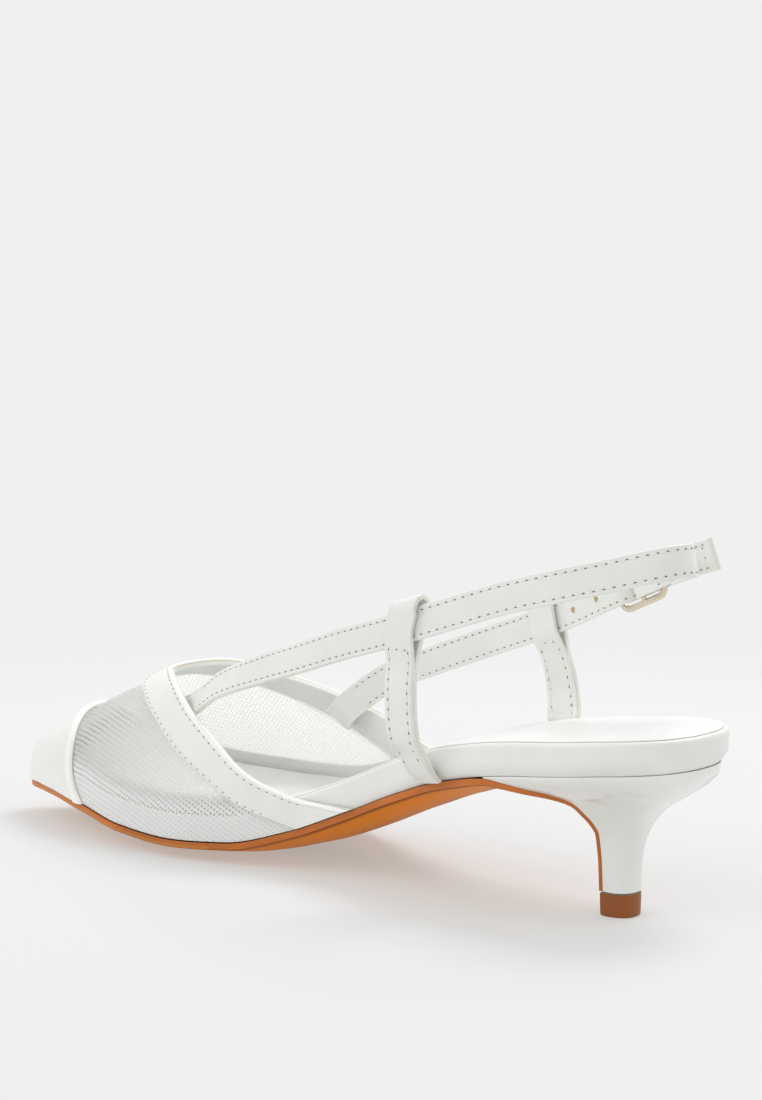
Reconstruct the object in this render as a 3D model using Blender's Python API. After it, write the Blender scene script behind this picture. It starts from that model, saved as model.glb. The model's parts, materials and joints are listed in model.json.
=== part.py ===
"""Slingback sandal with a kitten heel, right shoe, empty and standing on z = 0.

The toe points to -X, the medial side is -Y and the lateral side +Y. Sizes are in metres.
Along the shoe, a place is a share from 0 at the toe tip to 1 at the back of the heel seat.
Round the upper, a turn is a share from 0 at the medial feather edge to 1 at the lateral one.
"""
import bisect
import math

import bmesh
import bpy
from mathutils import Vector

# Driving sizes of the last
SHOE_LENGTH = 0.2409        # feather edge from the toe tip to the back of the heel seat
BALL_MEDIAL = 0.0243        # feather edge at the ball, from the heel-toe line to the medial side
BALL_LATERAL = 0.0386       # the same to the lateral side
TOE_SPRING = 0.0055         # rise of the toe tip above the tread
HEEL_RISE = 0.0370          # rise of the heel seat above the tread
INSTEP_HEIGHT = 0.0560      # height of the last over its feather edge behind the throat
RIM_OVERHANG = 0.0026       # how far the footbed's rim leans out over the feather edge
TREAD_CROWN = 0.0042        # how much lower the middle of the tread is than its edges
RIDGE_SHIFT = 0.0010        # how far the ridge of the upper lies to the lateral side of the middle

# Walls and clearances
GAP = 0.0003                # between pieces that touch
VAMP_WALL = 0.0008
OVERLAY_CLEARANCE = 0.0004  # between the mesh and what lies over it
CAP_WALL = 0.0009
CAP_BINDING_RISE = 0.0006
CAP_BINDING_WIDTH = 0.0020
BAND_WALL = 0.0013
OUTSOLE_THICKNESS = 0.0020
TONGUE_THICKNESS = 0.0011
FEATHER_LEDGE = 0.0012      # how far the outsole stands out past the last at the forepart
WAIST_LEDGE = 0.0003        # the same at the waist and heel
TREAD_FLAT = 0.0008         # depth that is worn level at the lowest part of the tread
RIM_HEIGHT = 0.0090
RIM_CLEARANCE = 0.0005      # between the footbed's rim and the upper round it
RIM_ROUND = 0.0011
SOCK_THICKNESS = 0.0009
SOCK_INSET = 0.0016

# Heel
TOP_PIECE_HEIGHT = 0.0065
TOP_PIECE_TAPER = 0.0003
HEEL_TIP_INSET = 0.0211     # from the back of the heel seat forward to the back of the tip
HEEL_TIP_HALF = 0.0052
HEEL_CLEARANCE = 0.0005     # between the heel block and the sheets round it
HEEL_TUCK = 0.0020          # how far the tip's ring stays under the seat where the two come close

# Straps
STRAP_WIDTH = 0.0087
STRAP_THICKNESS = 0.0017
SLING_HEIGHT = 0.0970       # centre of the sling strap behind the heel, above the floor
SLING_REACH = 0.0270        # the sling strap's centre from the heel-toe line at the medial loop
LOOP_WIDTH = 0.0088
LOOP_PLY = 0.0014
LOOP_BOW = 0.0040           # how far a loop bows out past the strap that it carries
STRAP_SEAT_DEPTH = 0.0013   # between the upper's inner side and a strap that is let in under it
HOLE_DIAMETER = 0.0018
HOLE_PITCH = 0.0095
HOLE_COUNT = 4
SLING_SPAN = 0.0042         # greatest distance between the sling strap's sections
BUCKLE_STRAP_SPAN = 0.0038
LOOP_SPAN = 0.0045

# Buckle
BUCKLE_LENGTH = 0.0177
BUCKLE_RAIL = 0.0018
BUCKLE_DEPTH = 0.0014
BUCKLE_SIDE_CLEARANCE = 0.0008
PRONG_DIAMETER = 0.0011
PRONG_SLOT = 0.0022         # width of the slot that the prong has in the folded strap
SLOT_FORWARD = 0.0040       # from the bar's middle to the slot's front end
SLOT_REARWARD = 0.0032      # from the bar's middle to the slot's rear end

# How the buckle strap passes through the buckle: places along it as shares of its length and
# outwards as shares of the strap's thickness, from inside the front rail to outside the rear one
THREADING = ((-0.95, -0.70), (-0.50, -1.25), (-0.38, -1.20), (-0.27, 0.05), (-0.15, 1.55), (0.03, 2.25),
             (0.24, 2.15), (0.47, 1.50), (0.75, 1.00))


class Table:
    """Rows of shares with named columns, read anywhere between its rows through a smooth curve."""

    def __init__(self, columns, *rows):
        self.keys = [row[0] for row in rows]
        self.columns = {name: [row[i] for row in rows] for i, name in enumerate(columns)}
        self.slopes = {name: self.column_slopes(self.columns[name]) for name in columns}

    def column_slopes(self, values):
        """Slopes at the rows that keep the curve from overshooting them."""
        steps = [b - a for a, b in zip(self.keys, self.keys[1:])]
        grades = [(b - a) / step for a, b, step in zip(values, values[1:], steps)]
        slopes = [grades[0]]
        for k in range(1, len(grades)):
            before, after = grades[k - 1], grades[k]
            if before * after <= 0:
                slopes.append(0.0)
            else:
                first = 2 * steps[k] + steps[k - 1]
                second = steps[k] + 2 * steps[k - 1]
                slopes.append((first + second) / (first / before + second / after))
        slopes.append(grades[-1])
        return slopes

    def at(self, name, where):
        """The value of a column at a place."""
        keys = self.keys
        where = min(max(where, keys[0]), keys[-1])
        i = min(bisect.bisect_right(keys, where) - 1, len(keys) - 2)
        step = keys[i + 1] - keys[i]
        t = (where - keys[i]) / step
        rise = 3 * t ** 2 - 2 * t ** 3
        values = self.columns[name]
        slopes = self.slopes[name]
        return (values[i] * (1 - rise) + values[i + 1] * rise
                + step * (slopes[i] * t * (1 - t) ** 2 - slopes[i + 1] * t ** 2 * (1 - t)))


def bend(along):
    """Turns a share of the length into one that runs slowly at the two round ends."""
    return math.acos(1 - 2 * min(max(along, 0.0), 1.0)) / math.pi


def unbend(share):
    """The share of the length that bend turns into this one."""
    return (1 - math.cos(math.pi * share)) / 2


def last_table(columns, *rows):
    """A table whose first column is a share of the length, keyed so that both ends come out round."""
    return Table(columns, *[(bend(row[0]), *row[1:]) for row in rows])


# Feather edge: half widths as shares of the ball's, spring and rise of the edge, crown of the
# bottom as a share of the tread's, lean of the rim, ledge of the outsole from waist (0) to tread (1)
FEATHER = last_table(
    ("along", "medial", "lateral", "spring", "rise", "crown", "lean", "ledge"),
    (0.000, 0.000, 0.000, 0.98, 0.000, 0.00, 0.00, 1.0),
    (0.020, 0.235, 0.220, 1.00, 0.000, 0.30, 0.00, 1.0),
    (0.040, 0.320, 0.305, 1.01, 0.000, 0.45, 0.00, 1.0),
    (0.078, 0.490, 0.470, 1.01, 0.000, 0.55, 0.00, 1.0),
    (0.155, 0.780, 0.720, 0.76, 0.000, 0.80, 0.00, 1.0),
    (0.235, 0.955, 0.890, 0.22, 0.000, 0.97, 0.00, 1.0),
    (0.313, 1.000, 1.000, 0.00, 0.000, 1.00, 0.00, 1.0),
    (0.392, 0.860, 0.995, 0.00, 0.020, 0.90, 0.00, 1.0),
    (0.470, 0.685, 0.885, 0.00, 0.150, 1.00, 0.00, 0.8),
    (0.548, 0.625, 0.725, 0.00, 0.350, 1.10, 0.10, 0.3),
    (0.625, 0.680, 0.600, 0.00, 0.565, 1.10, 0.45, 0.0),
    (0.703, 0.810, 0.545, 0.00, 0.745, 0.95, 0.70, 0.0),
    (0.785, 0.900, 0.560, 0.00, 0.855, 0.35, 0.70, 0.0),
    (0.862, 0.950, 0.595, 0.00, 0.915, 0.05, 0.70, 0.0),
    (0.930, 0.880, 0.555, 0.00, 0.965, 0.00, 0.80, 0.0),
    (0.970, 0.690, 0.434, 0.00, 0.985, 0.00, 0.85, 0.0),
    (1.000, 0.000, 0.000, 0.00, 1.000, 0.00, 0.90, 0.0),
)

# Ridge of the upper: its height over the feather edge and how lean the sides are
RIDGE = last_table(
    ("along", "height", "slim"),
    (0.0000, 0.000, 0.00),
    (0.0040, 0.130, 0.00),
    (0.0145, 0.200, 0.00),
    (0.0330, 0.250, 0.00),
    (0.0620, 0.322, 0.02),
    (0.0970, 0.412, 0.04),
    (0.1440, 0.530, 0.06),
    (0.1850, 0.628, 0.07),
    (0.2230, 0.728, 0.08),
    (0.2700, 0.815, 0.08),
    (0.3300, 0.895, 0.08),
    (0.4120, 0.985, 0.06),
    (0.5000, 1.035, 0.03),
    (1.0000, 1.070, 0.00),
)

# Edges of the parts of the upper, as shares of the length, for each turn round it
EDGES = Table(
    ("turn", "cap", "band_front", "band_rear"),
    (0.00, 0.158, 0.487, 0.568),
    (0.05, 0.138, 0.421, 0.484),
    (0.10, 0.127, 0.371, 0.427),
    (0.20, 0.114, 0.289, 0.354),
    (0.30, 0.103, 0.231, 0.291),
    (0.40, 0.096, 0.198, 0.246),
    (0.46, 0.095, 0.192, 0.228),
    (0.52, 0.096, 0.198, 0.235),
    (0.60, 0.100, 0.222, 0.272),
    (0.70, 0.108, 0.273, 0.326),
    (0.80, 0.118, 0.353, 0.411),
    (0.90, 0.132, 0.447, 0.508),
    (1.00, 0.160, 0.543, 0.608),
)

# Heel breast, from the seat down to the tip: back of the outsole's tongue. Level is a share of
# the height between the tip and the seat, half a share of the tongue's half width at the seat
BREAST = Table(
    ("step", "along", "level", "half"),
    (0.000, 0.7530, 1.000, 1.000),
    (0.070, 0.7676, 1.010, 0.990),
    (0.170, 0.7883, 0.990, 0.965),
    (0.280, 0.8112, 0.955, 0.900),
    (0.420, 0.8401, 0.900, 0.735),
    (0.510, 0.8551, 0.813, 0.500),
    (0.575, 0.8634, 0.716, 0.385),
    (0.643, 0.8714, 0.619, 0.310),
    (0.696, 0.8763, 0.533, 0.275),
    (0.761, 0.8780, 0.419, 0.262),
    (0.844, 0.8796, 0.273, 0.255),
    (1.000, 0.8808, 0.000, 0.248),
)

# Rings of the heel block from the tip up: its front on the breast, its back out to the seat's,
# and the back's height between the tip and the seat
HEEL = Table(
    ("ring", "breast", "back", "climb"),
    (0.00, 1.000, 0.000, 0.000),
    (0.12, 0.860, 0.000, 0.157),
    (0.24, 0.760, 0.040, 0.345),
    (0.32, 0.700, 0.095, 0.440),
    (0.40, 0.645, 0.165, 0.520),
    (0.49, 0.580, 0.285, 0.617),
    (0.60, 0.510, 0.505, 0.716),
    (0.72, 0.420, 0.720, 0.813),
    (0.84, 0.270, 0.870, 0.900),
    (0.93, 0.190, 0.965, 0.955),
    (1.00, 0.135, 1.000, 1.000),
)

# Sling strap behind its seat under the band: half of its reach, height and inward lean in degrees
SLING = Table(
    ("row", "along", "reach", "height", "lean"),
    (0, 0.3612, -0.526, 0.516, 30.0),
    (1, 0.4380, -0.674, 0.585, 21.0),
    (2, 0.5102, -0.804, 0.643, 13.0),
    (3, 0.5774, -0.900, 0.699, 7.0),
    (4, 0.6542, -0.996, 0.756, 3.0),
    (5, 0.7393, -1.000, 0.825, 3.0),
    (6, 0.7991, -0.922, 0.875, 5.0),
    (7, 0.8555, -0.815, 0.913, 7.0),
    (8, 0.9066, -0.648, 0.945, 9.0),
    (9, 0.9460, -0.410, 0.972, 10.0),
    (10, 0.9670, -0.200, 0.985, 10.0),
    (11, 0.9725, -0.020, 0.986, 10.0),
    (12, 0.9660, 0.160, 0.980, 10.0),
    (13, 0.9440, 0.365, 0.964, 9.0),
    (14, 0.9114, 0.570, 0.938, 7.0),
)

# Buckle strap behind its seat under the band, to its free tip
BUCKLE_STRAP = Table(
    ("row", "along", "reach", "height", "lean"),
    (0, 0.4707, 1.130, 0.506, 20.0),
    (1, 0.5255, 1.144, 0.562, 12.0),
    (2, 0.6093, 1.115, 0.640, 6.0),
    (3, 0.6924, 1.041, 0.715, 3.0),
    (4, 0.7483, 0.993, 0.772, 3.0),
    (5, 0.7987, 0.935, 0.821, 4.0),
    (6, 0.8450, 0.890, 0.879, 5.0),
    (7, 0.8900, 0.815, 0.921, 6.0),
    (8, 0.9557, 0.700, 0.982, 7.0),
)

# A loop's leg between the footbed's rim and the strap that it carries: its height from rim (0) to
# strap (1), and for each loop its place along the shoe from rim to strap and its bow outwards
LOOP_LEG = Table(
    ("row", "climb", "medial_along", "medial_bow", "lateral_along", "lateral_bow"),
    (0, 0.13, 0.75, 0.48, 0.23, 0.43),
    (1, 0.38, 0.93, 0.62, 0.56, 0.78),
    (2, 0.68, 1.00, 0.50, 0.80, 0.62),
    (3, 0.90, 1.00, 0.22, 0.94, 0.25),
)
# A loop's foot on the rim: height over the sole's edge as a share of the rim's, how far its plies
# are pared down, and how far the medial loop stands off as a share of the bow
LOOP_FOOT = Table(
    ("row", "over", "skive", "stand"),
    (0, 0.02, 0.60, 0.00),
    (1, 0.30, 0.75, 0.10),
    (2, 0.62, 0.95, 0.33),
    (3, 1.00, 1.00, 0.65),
)
# Where each loop leaves the sole and where it carries its strap, how much of the stand-off it has,
# and how far it leans back above and below the strap's middle
LOOPS = {
    "loop_medial": {"side": -1, "foot": 0.695, "strap": 0.6765, "stand": 1.0, "above": 0.60, "below": 0.34},
    "loop_lateral": {"side": 1, "foot": 0.755, "strap": 0.7125, "stand": 0.0, "above": 0.20, "below": 0.20},
}
LOOP_CLEARANCE = 0.0009     # between a loop's inner ply and the rim
EYE_CLEARANCE = 0.00065     # between a loop and the strap inside it
LOOP_DRIFT = 0.0095         # how far forward a loop moves, as a share of the length, up the rim

# Where the straps are let in under the topline band: the turns of their first two sections, and the
# places of these across the band
SEATS = {"sling": (0.272, 0.286, (0.25, 0.95)), "buckle": (0.822, 0.800, (0.30, 0.95))}

COLOURS = {
    "patent": ((0.80, 0.81, 0.78), 0.22, 0.0),
    "leather": ((0.79, 0.81, 0.77), 0.38, 0.0),
    "mesh": ((0.84, 0.84, 0.82), 0.70, 0.0),
    "sock": ((0.80, 0.81, 0.79), 0.35, 0.0),
    "sole": ((0.52, 0.22, 0.06), 0.32, 0.0),
    "top_piece": ((0.30, 0.09, 0.03), 0.35, 0.0),
    "metal": ((0.78, 0.72, 0.63), 0.22, 1.0),
}


def material(kind):
    """The finish of a sub-part, made once for each kind."""
    if kind in bpy.data.materials:
        return bpy.data.materials[kind]
    colour, roughness, metallic = COLOURS[kind]
    made = bpy.data.materials.new(kind)
    made.use_nodes = True
    shader = made.node_tree.nodes["Principled BSDF"]
    shader.inputs["Base Color"].default_value = (*colour, 1.0)
    shader.inputs["Roughness"].default_value = roughness
    shader.inputs["Metallic"].default_value = metallic
    return made


def add_object(name, mesh_data, kind, smooth_angle=40):
    """Puts a closed bmesh into the scene as a named object, its faces pointing out, in the world's place."""
    bmesh.ops.remove_doubles(mesh_data, verts=mesh_data.verts, dist=2e-6)
    bmesh.ops.dissolve_degenerate(mesh_data, dist=1e-6, edges=mesh_data.edges)
    bmesh.ops.triangulate(mesh_data, faces=mesh_data.faces, quad_method="SHORT_EDGE")
    bmesh.ops.recalc_face_normals(mesh_data, faces=mesh_data.faces)
    if mesh_data.calc_volume(signed=True) < 0:
        bmesh.ops.reverse_faces(mesh_data, faces=mesh_data.faces)
    bmesh.ops.translate(mesh_data, vec=WORLD_SHIFT, verts=mesh_data.verts)
    mesh = bpy.data.meshes.new(name)
    mesh_data.to_mesh(mesh)
    mesh_data.free()
    mesh.shade_smooth()
    mesh.set_sharp_from_angle(angle=math.radians(smooth_angle))
    made = bpy.data.objects.new(name, mesh)
    made.data.materials.append(material(kind))
    bpy.context.scene.collection.objects.link(made)
    return made


def mesh_from_grids(upper, lower, round_trip=False):
    """One closed body between two grids of points with the same rows and columns.

    With round_trip the columns close on themselves, as in a tube whose ends are capped.
    """
    body = bmesh.new()
    rows = len(upper)
    columns = len(upper[0])
    top = [[body.verts.new(p) for p in row] for row in upper]
    under = [[body.verts.new(p) for p in row] for row in lower]

    def face(*corners):
        body.faces.new(corners)

    spans = columns if round_trip else columns - 1
    for r in range(rows - 1):
        for c in range(spans):
            d = (c + 1) % columns
            face(top[r][c], top[r][d], top[r + 1][d], top[r + 1][c])
            face(under[r][c], under[r + 1][c], under[r + 1][d], under[r][d])
    for c in range(spans):
        d = (c + 1) % columns
        face(top[0][c], under[0][c], under[0][d], top[0][d])
        face(top[-1][c], top[-1][d], under[-1][d], under[-1][c])
    if not round_trip:
        for r in range(rows - 1):
            face(top[r][0], top[r + 1][0], under[r + 1][0], under[r][0])
            face(top[r][-1], under[r][-1], under[r + 1][-1], top[r + 1][-1])
    return body


def mesh_from_rings(rings, first_cap=True, last_cap=True):
    """One closed body through closed rings of points with the same count, with flat or fanned ends."""
    body = bmesh.new()
    loops = [[body.verts.new(p) for p in ring] for ring in rings]
    count = len(rings[0])
    for lower, upper in zip(loops, loops[1:]):
        for i in range(count):
            j = (i + 1) % count
            body.faces.new((lower[i], lower[j], upper[j], upper[i]))
    if first_cap:
        body.faces.new(loops[0][::-1])
    if last_cap:
        body.faces.new(loops[-1])
    return body


def feather_height(along):
    """Height of the feather edge above the floor."""
    place = bend(along)
    tread = GAP + OUTSOLE_THICKNESS + TREAD_CROWN - TREAD_FLAT
    return tread + TOE_SPRING * FEATHER.at("spring", place) + HEEL_RISE * FEATHER.at("rise", place)


def half_width(along, side):
    """Half width of the feather edge on the medial (-1) or the lateral (+1) side."""
    if side < 0:
        return BALL_MEDIAL * FEATHER.at("medial", bend(along))
    return BALL_LATERAL * FEATHER.at("lateral", bend(along))


def edge_point(along, side, out=0.0):
    """A point of the feather edge's plan, moved out by a distance, and its outward direction."""
    share = bend(along)
    step = 0.004
    before = unbend(max(share - step, 0.0))
    after = unbend(min(share + step, 1.0))
    run = Vector((SHOE_LENGTH * (after - before),
                  side * (half_width(after, side) - half_width(before, side))))
    if along <= 0.0:
        outward = Vector((-1.0, 0.0))
    elif along >= 1.0:
        outward = Vector((1.0, 0.0))
    else:
        outward = Vector((-run.y * side, run.x * side)).normalized()
    place = Vector((SHOE_LENGTH * along, side * half_width(along, side)))
    return place + out * outward, outward


def bottom_drop(along, across):
    """How far the last's bottom lies under the feather edge, at a place across from -1 to 1."""
    return TREAD_CROWN * FEATHER.at("crown", bend(along)) * (1 - across ** 2)


def upper_point(along, turn):
    """A point of the last's upper surface."""
    share = bend(along)
    angle = math.pi * turn
    height = INSTEP_HEIGHT * RIDGE.at("height", share)
    medial = half_width(along, -1)
    lateral = half_width(along, 1)
    ridge = (lateral - medial) / 2 + RIDGE_SHIFT * min(1.0, share * 5)
    side = -1 if turn < 0.5 else 1
    reach = ridge + medial if side < 0 else lateral - ridge
    slim = 1 - RIDGE.at("slim", share) * math.sin(angle) ** 2
    y = ridge - reach * abs(math.cos(angle)) * slim if side < 0 else ridge + reach * abs(math.cos(angle)) * slim
    over = height * math.sin(angle)
    lean = RIM_OVERHANG * FEATHER.at("lean", share) * math.sin(math.pi / 2 * min(1.0, over / (0.45 * RIM_HEIGHT)))
    outward = edge_point(along, side)[1]
    return Vector((SHOE_LENGTH * along + lean * outward.x, y + lean * outward.y * abs(math.cos(angle)),
                   feather_height(along) + over))


def upper_normal(along, turn):
    """The outward direction of the last's upper surface."""
    if along < 1e-4:
        return Vector((-1.0, 0.0, 0.0))
    share = bend(along)
    step = 0.003
    fore = upper_point(unbend(max(share - step, 1e-3)), turn)
    aft = upper_point(unbend(min(share + step, 1.0)), turn)
    low = upper_point(along, max(turn - step, 0.0))
    high = upper_point(along, min(turn + step, 1.0))
    normal = (high - low).cross(aft - fore).normalized()
    if normal.dot(upper_point(along, turn) - Vector((SHOE_LENGTH * (along + 0.083), 0, 0))) < 0:
        normal.negate()
    return normal


def upper_offset(along, turn, out):
    """A point at a distance outside the last's upper surface, never lower than the feather edge."""
    place = upper_point(along, turn) + upper_normal(along, turn) * out
    place.z = max(place.z, feather_height(along))
    return place


def spread(first, last, count):
    """Evenly spaced numbers from the first to the last."""
    return [first + (last - first) * i / (count - 1) for i in range(count)]


def gather(place):
    """Moves a place round the upper toward the nearer feather edge, so that columns lie closer there."""
    return place - 0.5 * math.sin(2 * math.pi * place) / (2 * math.pi)


def upper_shell(first, last, inner, outer, rows, columns, turns=(0.0, 1.0)):
    """A wall on the last between two edges, each a function of the turn.

    inner and outer give the wall's two sides as functions of the share across it.
    """
    def grid(out):
        made = []
        for share in spread(0.0, 1.0, rows):
            line = []
            for turn in [gather(place) for place in spread(*turns, columns)]:
                start = bend(first(turn))
                along = unbend(start + (bend(last(turn)) - start) * share)
                line.append(upper_offset(along, turn, out(share, turn)))
            made.append(line)
        return made

    return mesh_from_grids(grid(outer), grid(inner))


def make_vamp():
    """The mesh upper: one hollow lasted wall from the toe to under the topline band."""
    shell = upper_shell(lambda turn: 0.0, lambda turn: EDGES.at("band_rear", turn) - 0.004,
                        lambda share, turn: 0.0, lambda share, turn: VAMP_WALL, 18, 25)
    return add_object("vamp", shell, "mesh")


def make_toe_cap():
    """The toe cap over the mesh, with a binding that stands up along its rear edge."""
    under = VAMP_WALL + OVERLAY_CLEARANCE

    def outer(share, turn):
        run = SHOE_LENGTH * EDGES.at("cap", turn)
        binding = max(0.0, 1 - (1 - share) * run * 1.6 / CAP_BINDING_WIDTH)
        return under + CAP_WALL + CAP_BINDING_RISE * min(1.0, 2.5 * binding)

    shell = upper_shell(lambda turn: 0.0, lambda turn: EDGES.at("cap", turn),
                        lambda share, turn: under, outer, 12, 23)
    return add_object("toe_cap", shell, "patent")


def make_topline_band():
    """The strip over the rear edge of the mesh, from feather edge to feather edge over the throat."""
    under = VAMP_WALL + OVERLAY_CLEARANCE

    def outer(share, turn):
        edge = min(share, 1 - share) * 4
        return under + BAND_WALL * (0.62 + 0.38 * min(1.0, edge))

    shell = upper_shell(lambda turn: EDGES.at("band_front", turn), lambda turn: EDGES.at("band_rear", turn),
                        lambda share, turn: under, outer, 5, 45)
    return add_object("topline_band", shell, "leather")


def layer_tip(over):
    """Where along the shoe the last's toe begins at a height over the feather edge."""
    low, high = 0.0, 0.3
    for _ in range(30):
        middle = (low + high) / 2
        if INSTEP_HEIGHT * RIDGE.at("height", bend(middle)) < over:
            low = middle
        else:
            high = middle
    return high


def rim_point(along, side, over, inset=0.0):
    """A point of the footbed's side at a height over the feather edge, just inside the upper."""
    height = INSTEP_HEIGHT * RIDGE.at("height", bend(along))
    turn = math.asin(min(over / max(height, 1e-5), 1.0)) / math.pi
    top = upper_point(along, turn if side < 0 else 1 - turn)
    outward = edge_point(along, side)[1]
    shift = RIM_CLEARANCE + inset
    return Vector((top.x - outward.x * shift, top.y - outward.y * shift, top.z))


def rim_side(share, side, over, inset=0.0):
    """A point of the footbed's side in a level layer that starts at its own toe (0)."""
    start = bend(layer_tip(over))
    return rim_point(unbend(start + (1 - start) * share), side, over, inset)


def across_points(medial, lateral, count, drop=lambda across: 0.0):
    """Points from a medial to a lateral edge point, lowered by a function of the place from -1 to 1."""
    made = []
    for across in spread(-1.0, 1.0, count):
        place = medial.lerp(lateral, (across + 1) / 2)
        made.append(place - Vector((0.0, 0.0, drop(across))))
    return made


def footbed_level(share, inset, lower):
    """The two ends of a level row across the footbed, in from its rim and under its top."""
    medial = rim_side(share, -1, RIM_HEIGHT, inset)
    lateral = rim_side(share, 1, RIM_HEIGHT, inset)
    if medial.y > lateral.y - GAP:
        middle = (medial.y + lateral.y) / 2
        medial.y = middle - GAP / 2
        lateral.y = middle + GAP / 2
    medial.z -= lower
    lateral.z -= lower
    return medial, lateral


BED_SHARES = spread(0.03, 0.99, 33)


def make_footbed():
    """The wrapped insole board, its rim leaning out a little, its top let in for the sock."""
    side_rows = [(0.3 * RIM_HEIGHT, 0.0), (RIM_HEIGHT - RIM_ROUND, 0.0),
                 (RIM_HEIGHT - 0.3 * RIM_ROUND, 0.3 * RIM_ROUND)]
    upper = []
    lower = []
    for share in BED_SHARES:
        lip = footbed_level(share, RIM_ROUND, 0.0)
        bed = footbed_level(share, SOCK_INSET - GAP, SOCK_THICKNESS + GAP)
        line = [rim_side(share, -1, over, inset) for over, inset in side_rows]
        line += [lip[0], *across_points(*bed, 4), lip[1]]
        line += [rim_side(share, 1, over, inset) for over, inset in reversed(side_rows)]
        ends = (rim_side(share, -1, 0.0), rim_side(share, 1, 0.0))
        along = unbend(share)
        upper.append(line)
        lower.append(across_points(*ends, len(line), lambda across: bottom_drop(along, across)))
    return add_object("footbed", mesh_from_grids(upper, lower), "leather")


def make_insole_sock():
    """The thin sheet glued inside the rim."""
    upper = []
    lower = []
    for share in BED_SHARES[1:-1]:
        ends = footbed_level(share, SOCK_INSET, 0.0)
        upper.append(across_points(*ends, 4))
        lower.append(across_points(*ends, 4, lambda across: SOCK_THICKNESS))
    return add_object("insole_sock", mesh_from_grids(upper, lower), "sock")


class OutsoleRow:
    """One row across the outsole's upper face, with the direction in which the sheet is thick."""

    def __init__(self, medial, lateral, drop, thickness):
        self.medial = medial
        self.lateral = lateral
        self.drop = drop
        self.thickness = thickness
        self.down = Vector((0.0, 0.0, -1.0))

    def point(self, across, under=0.0):
        """A point of the upper face from the medial (-1) to the lateral (1) edge, or under it."""
        place = self.medial.lerp(self.lateral, (across + 1) / 2)
        place = place + self.down * (self.drop * (1 - across ** 2) + under)
        place.z = max(place.z, 0.0)
        return place


def tongue_row(step):
    """The outsole's row at a step down the heel breast."""
    seat = BREAST.at("along", 0.0)
    top = feather_height(seat) - GAP
    tip = TOP_PIECE_HEIGHT + GAP
    x = SHOE_LENGTH * BREAST.at("along", step)
    z = tip + (top - tip) * BREAST.at("level", step)
    half = BREAST.at("half", step)
    drop = bottom_drop(seat, 0.0) * max(0.0, 1 - step / 0.55) ** 1.5
    thin = OUTSOLE_THICKNESS + (TONGUE_THICKNESS - OUTSOLE_THICKNESS) * min(1.0, step * 2.4)
    ends = [edge_point(seat, side, WAIST_LEDGE)[0].y * half for side in (-1, 1)]
    row = OutsoleRow(Vector((x, ends[0], z)), Vector((x, ends[1], z)), drop, thin)
    reach = 0.01
    before = max(step - reach, 0.0)
    after = min(step + reach, 1.0)
    run_x = SHOE_LENGTH * (BREAST.at("along", after) - BREAST.at("along", before))
    run_z = (top - tip) * (BREAST.at("level", after) - BREAST.at("level", before))
    row.down = Vector((run_z, 0.0, -run_x)).normalized()
    return row


def make_outsole():
    """The tan sheet under the whole shoe, up the arch and down the heel breast."""
    rows = []
    breast = bend(BREAST.at("along", 0.0))
    for share in spread(0.0, 1.0, 28):
        along = unbend(breast * share)
        ledge = WAIST_LEDGE + (FEATHER_LEDGE - WAIST_LEDGE) * FEATHER.at("ledge", bend(along))
        level = feather_height(along) - GAP
        ends = [Vector((*edge_point(along, side, ledge)[0], level)) for side in (-1, 1)]
        rows.append(OutsoleRow(*ends, bottom_drop(along, 0.0), OUTSOLE_THICKNESS))
    rows += [tongue_row(step) for step in spread(0.07, 1.0, 20)]
    columns = spread(-1.0, 1.0, 9)
    upper = [[row.point(across) for across in columns] for row in rows]
    lower = [[row.point(across, row.thickness) for across in columns] for row in rows]
    return add_object("outsole", mesh_from_grids(upper, lower), "sole", 50)


def round_share(share):
    """Half width of the heel's tip from its front (0) to its back (1), as a share of its widest."""
    place = 0.30 + 0.70 * share
    return max(0.0, 1 - abs(2 * place - 1) ** 2.3) ** (1 / 2.3)


def footbed_underside(x, y):
    """Height of the footbed's bottom over a place of the seat."""
    along = x / SHOE_LENGTH
    half = half_width(along, -1 if y < 0 else 1)
    across = min(abs(y) / max(half, 1e-5), 1.0)
    return feather_height(along) - bottom_drop(along, across)


def heel_ring(ring):
    """A ring of the heel block: across the breast, round the lateral side, the back and the medial side."""
    step = HEEL.at("breast", ring)
    row = tongue_row(step)
    front = [row.point(across, -HEEL_CLEARANCE) for across in spread(-1.0, 1.0, 7)]
    tip = TOP_PIECE_HEIGHT + GAP
    seat_back = SHOE_LENGTH - 0.5 * GAP
    tip_back = SHOE_LENGTH - HEEL_TIP_INSET
    back_x = tip_back + (seat_back - tip_back) * HEEL.at("back", ring)
    back_z = tip + (feather_height(1.0) - GAP - tip) * HEEL.at("climb", ring)
    flare = HEEL.at("back", ring) ** 0.8
    count = 9
    sides = {}
    for side, corner in ((-1, front[0]), (1, front[-1])):
        line = []
        for k in range(1, count):
            t = (1 - math.cos(math.pi * k / count)) / 2
            x = corner.x + (back_x - corner.x) * t
            tip_shape = round_share(t) / round_share(0.0)
            seat_shape = half_width(x / SHOE_LENGTH, side) / half_width(corner.x / SHOE_LENGTH, side)
            y = corner.y * ((1 - flare) * tip_shape + flare * seat_shape)
            line.append(Vector((x, y, corner.z + (back_z - corner.z) * t)))
        sides[side] = line
    points = front + sides[1] + [Vector((back_x, 0.0, back_z))] + sides[-1][::-1]
    for point in points:
        ceiling = footbed_underside(point.x, point.y) - HEEL_CLEARANCE
        point.z = ceiling if ring >= 1.0 else min(point.z, ceiling - (1 - ring) * HEEL_TUCK)
    return points


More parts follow.
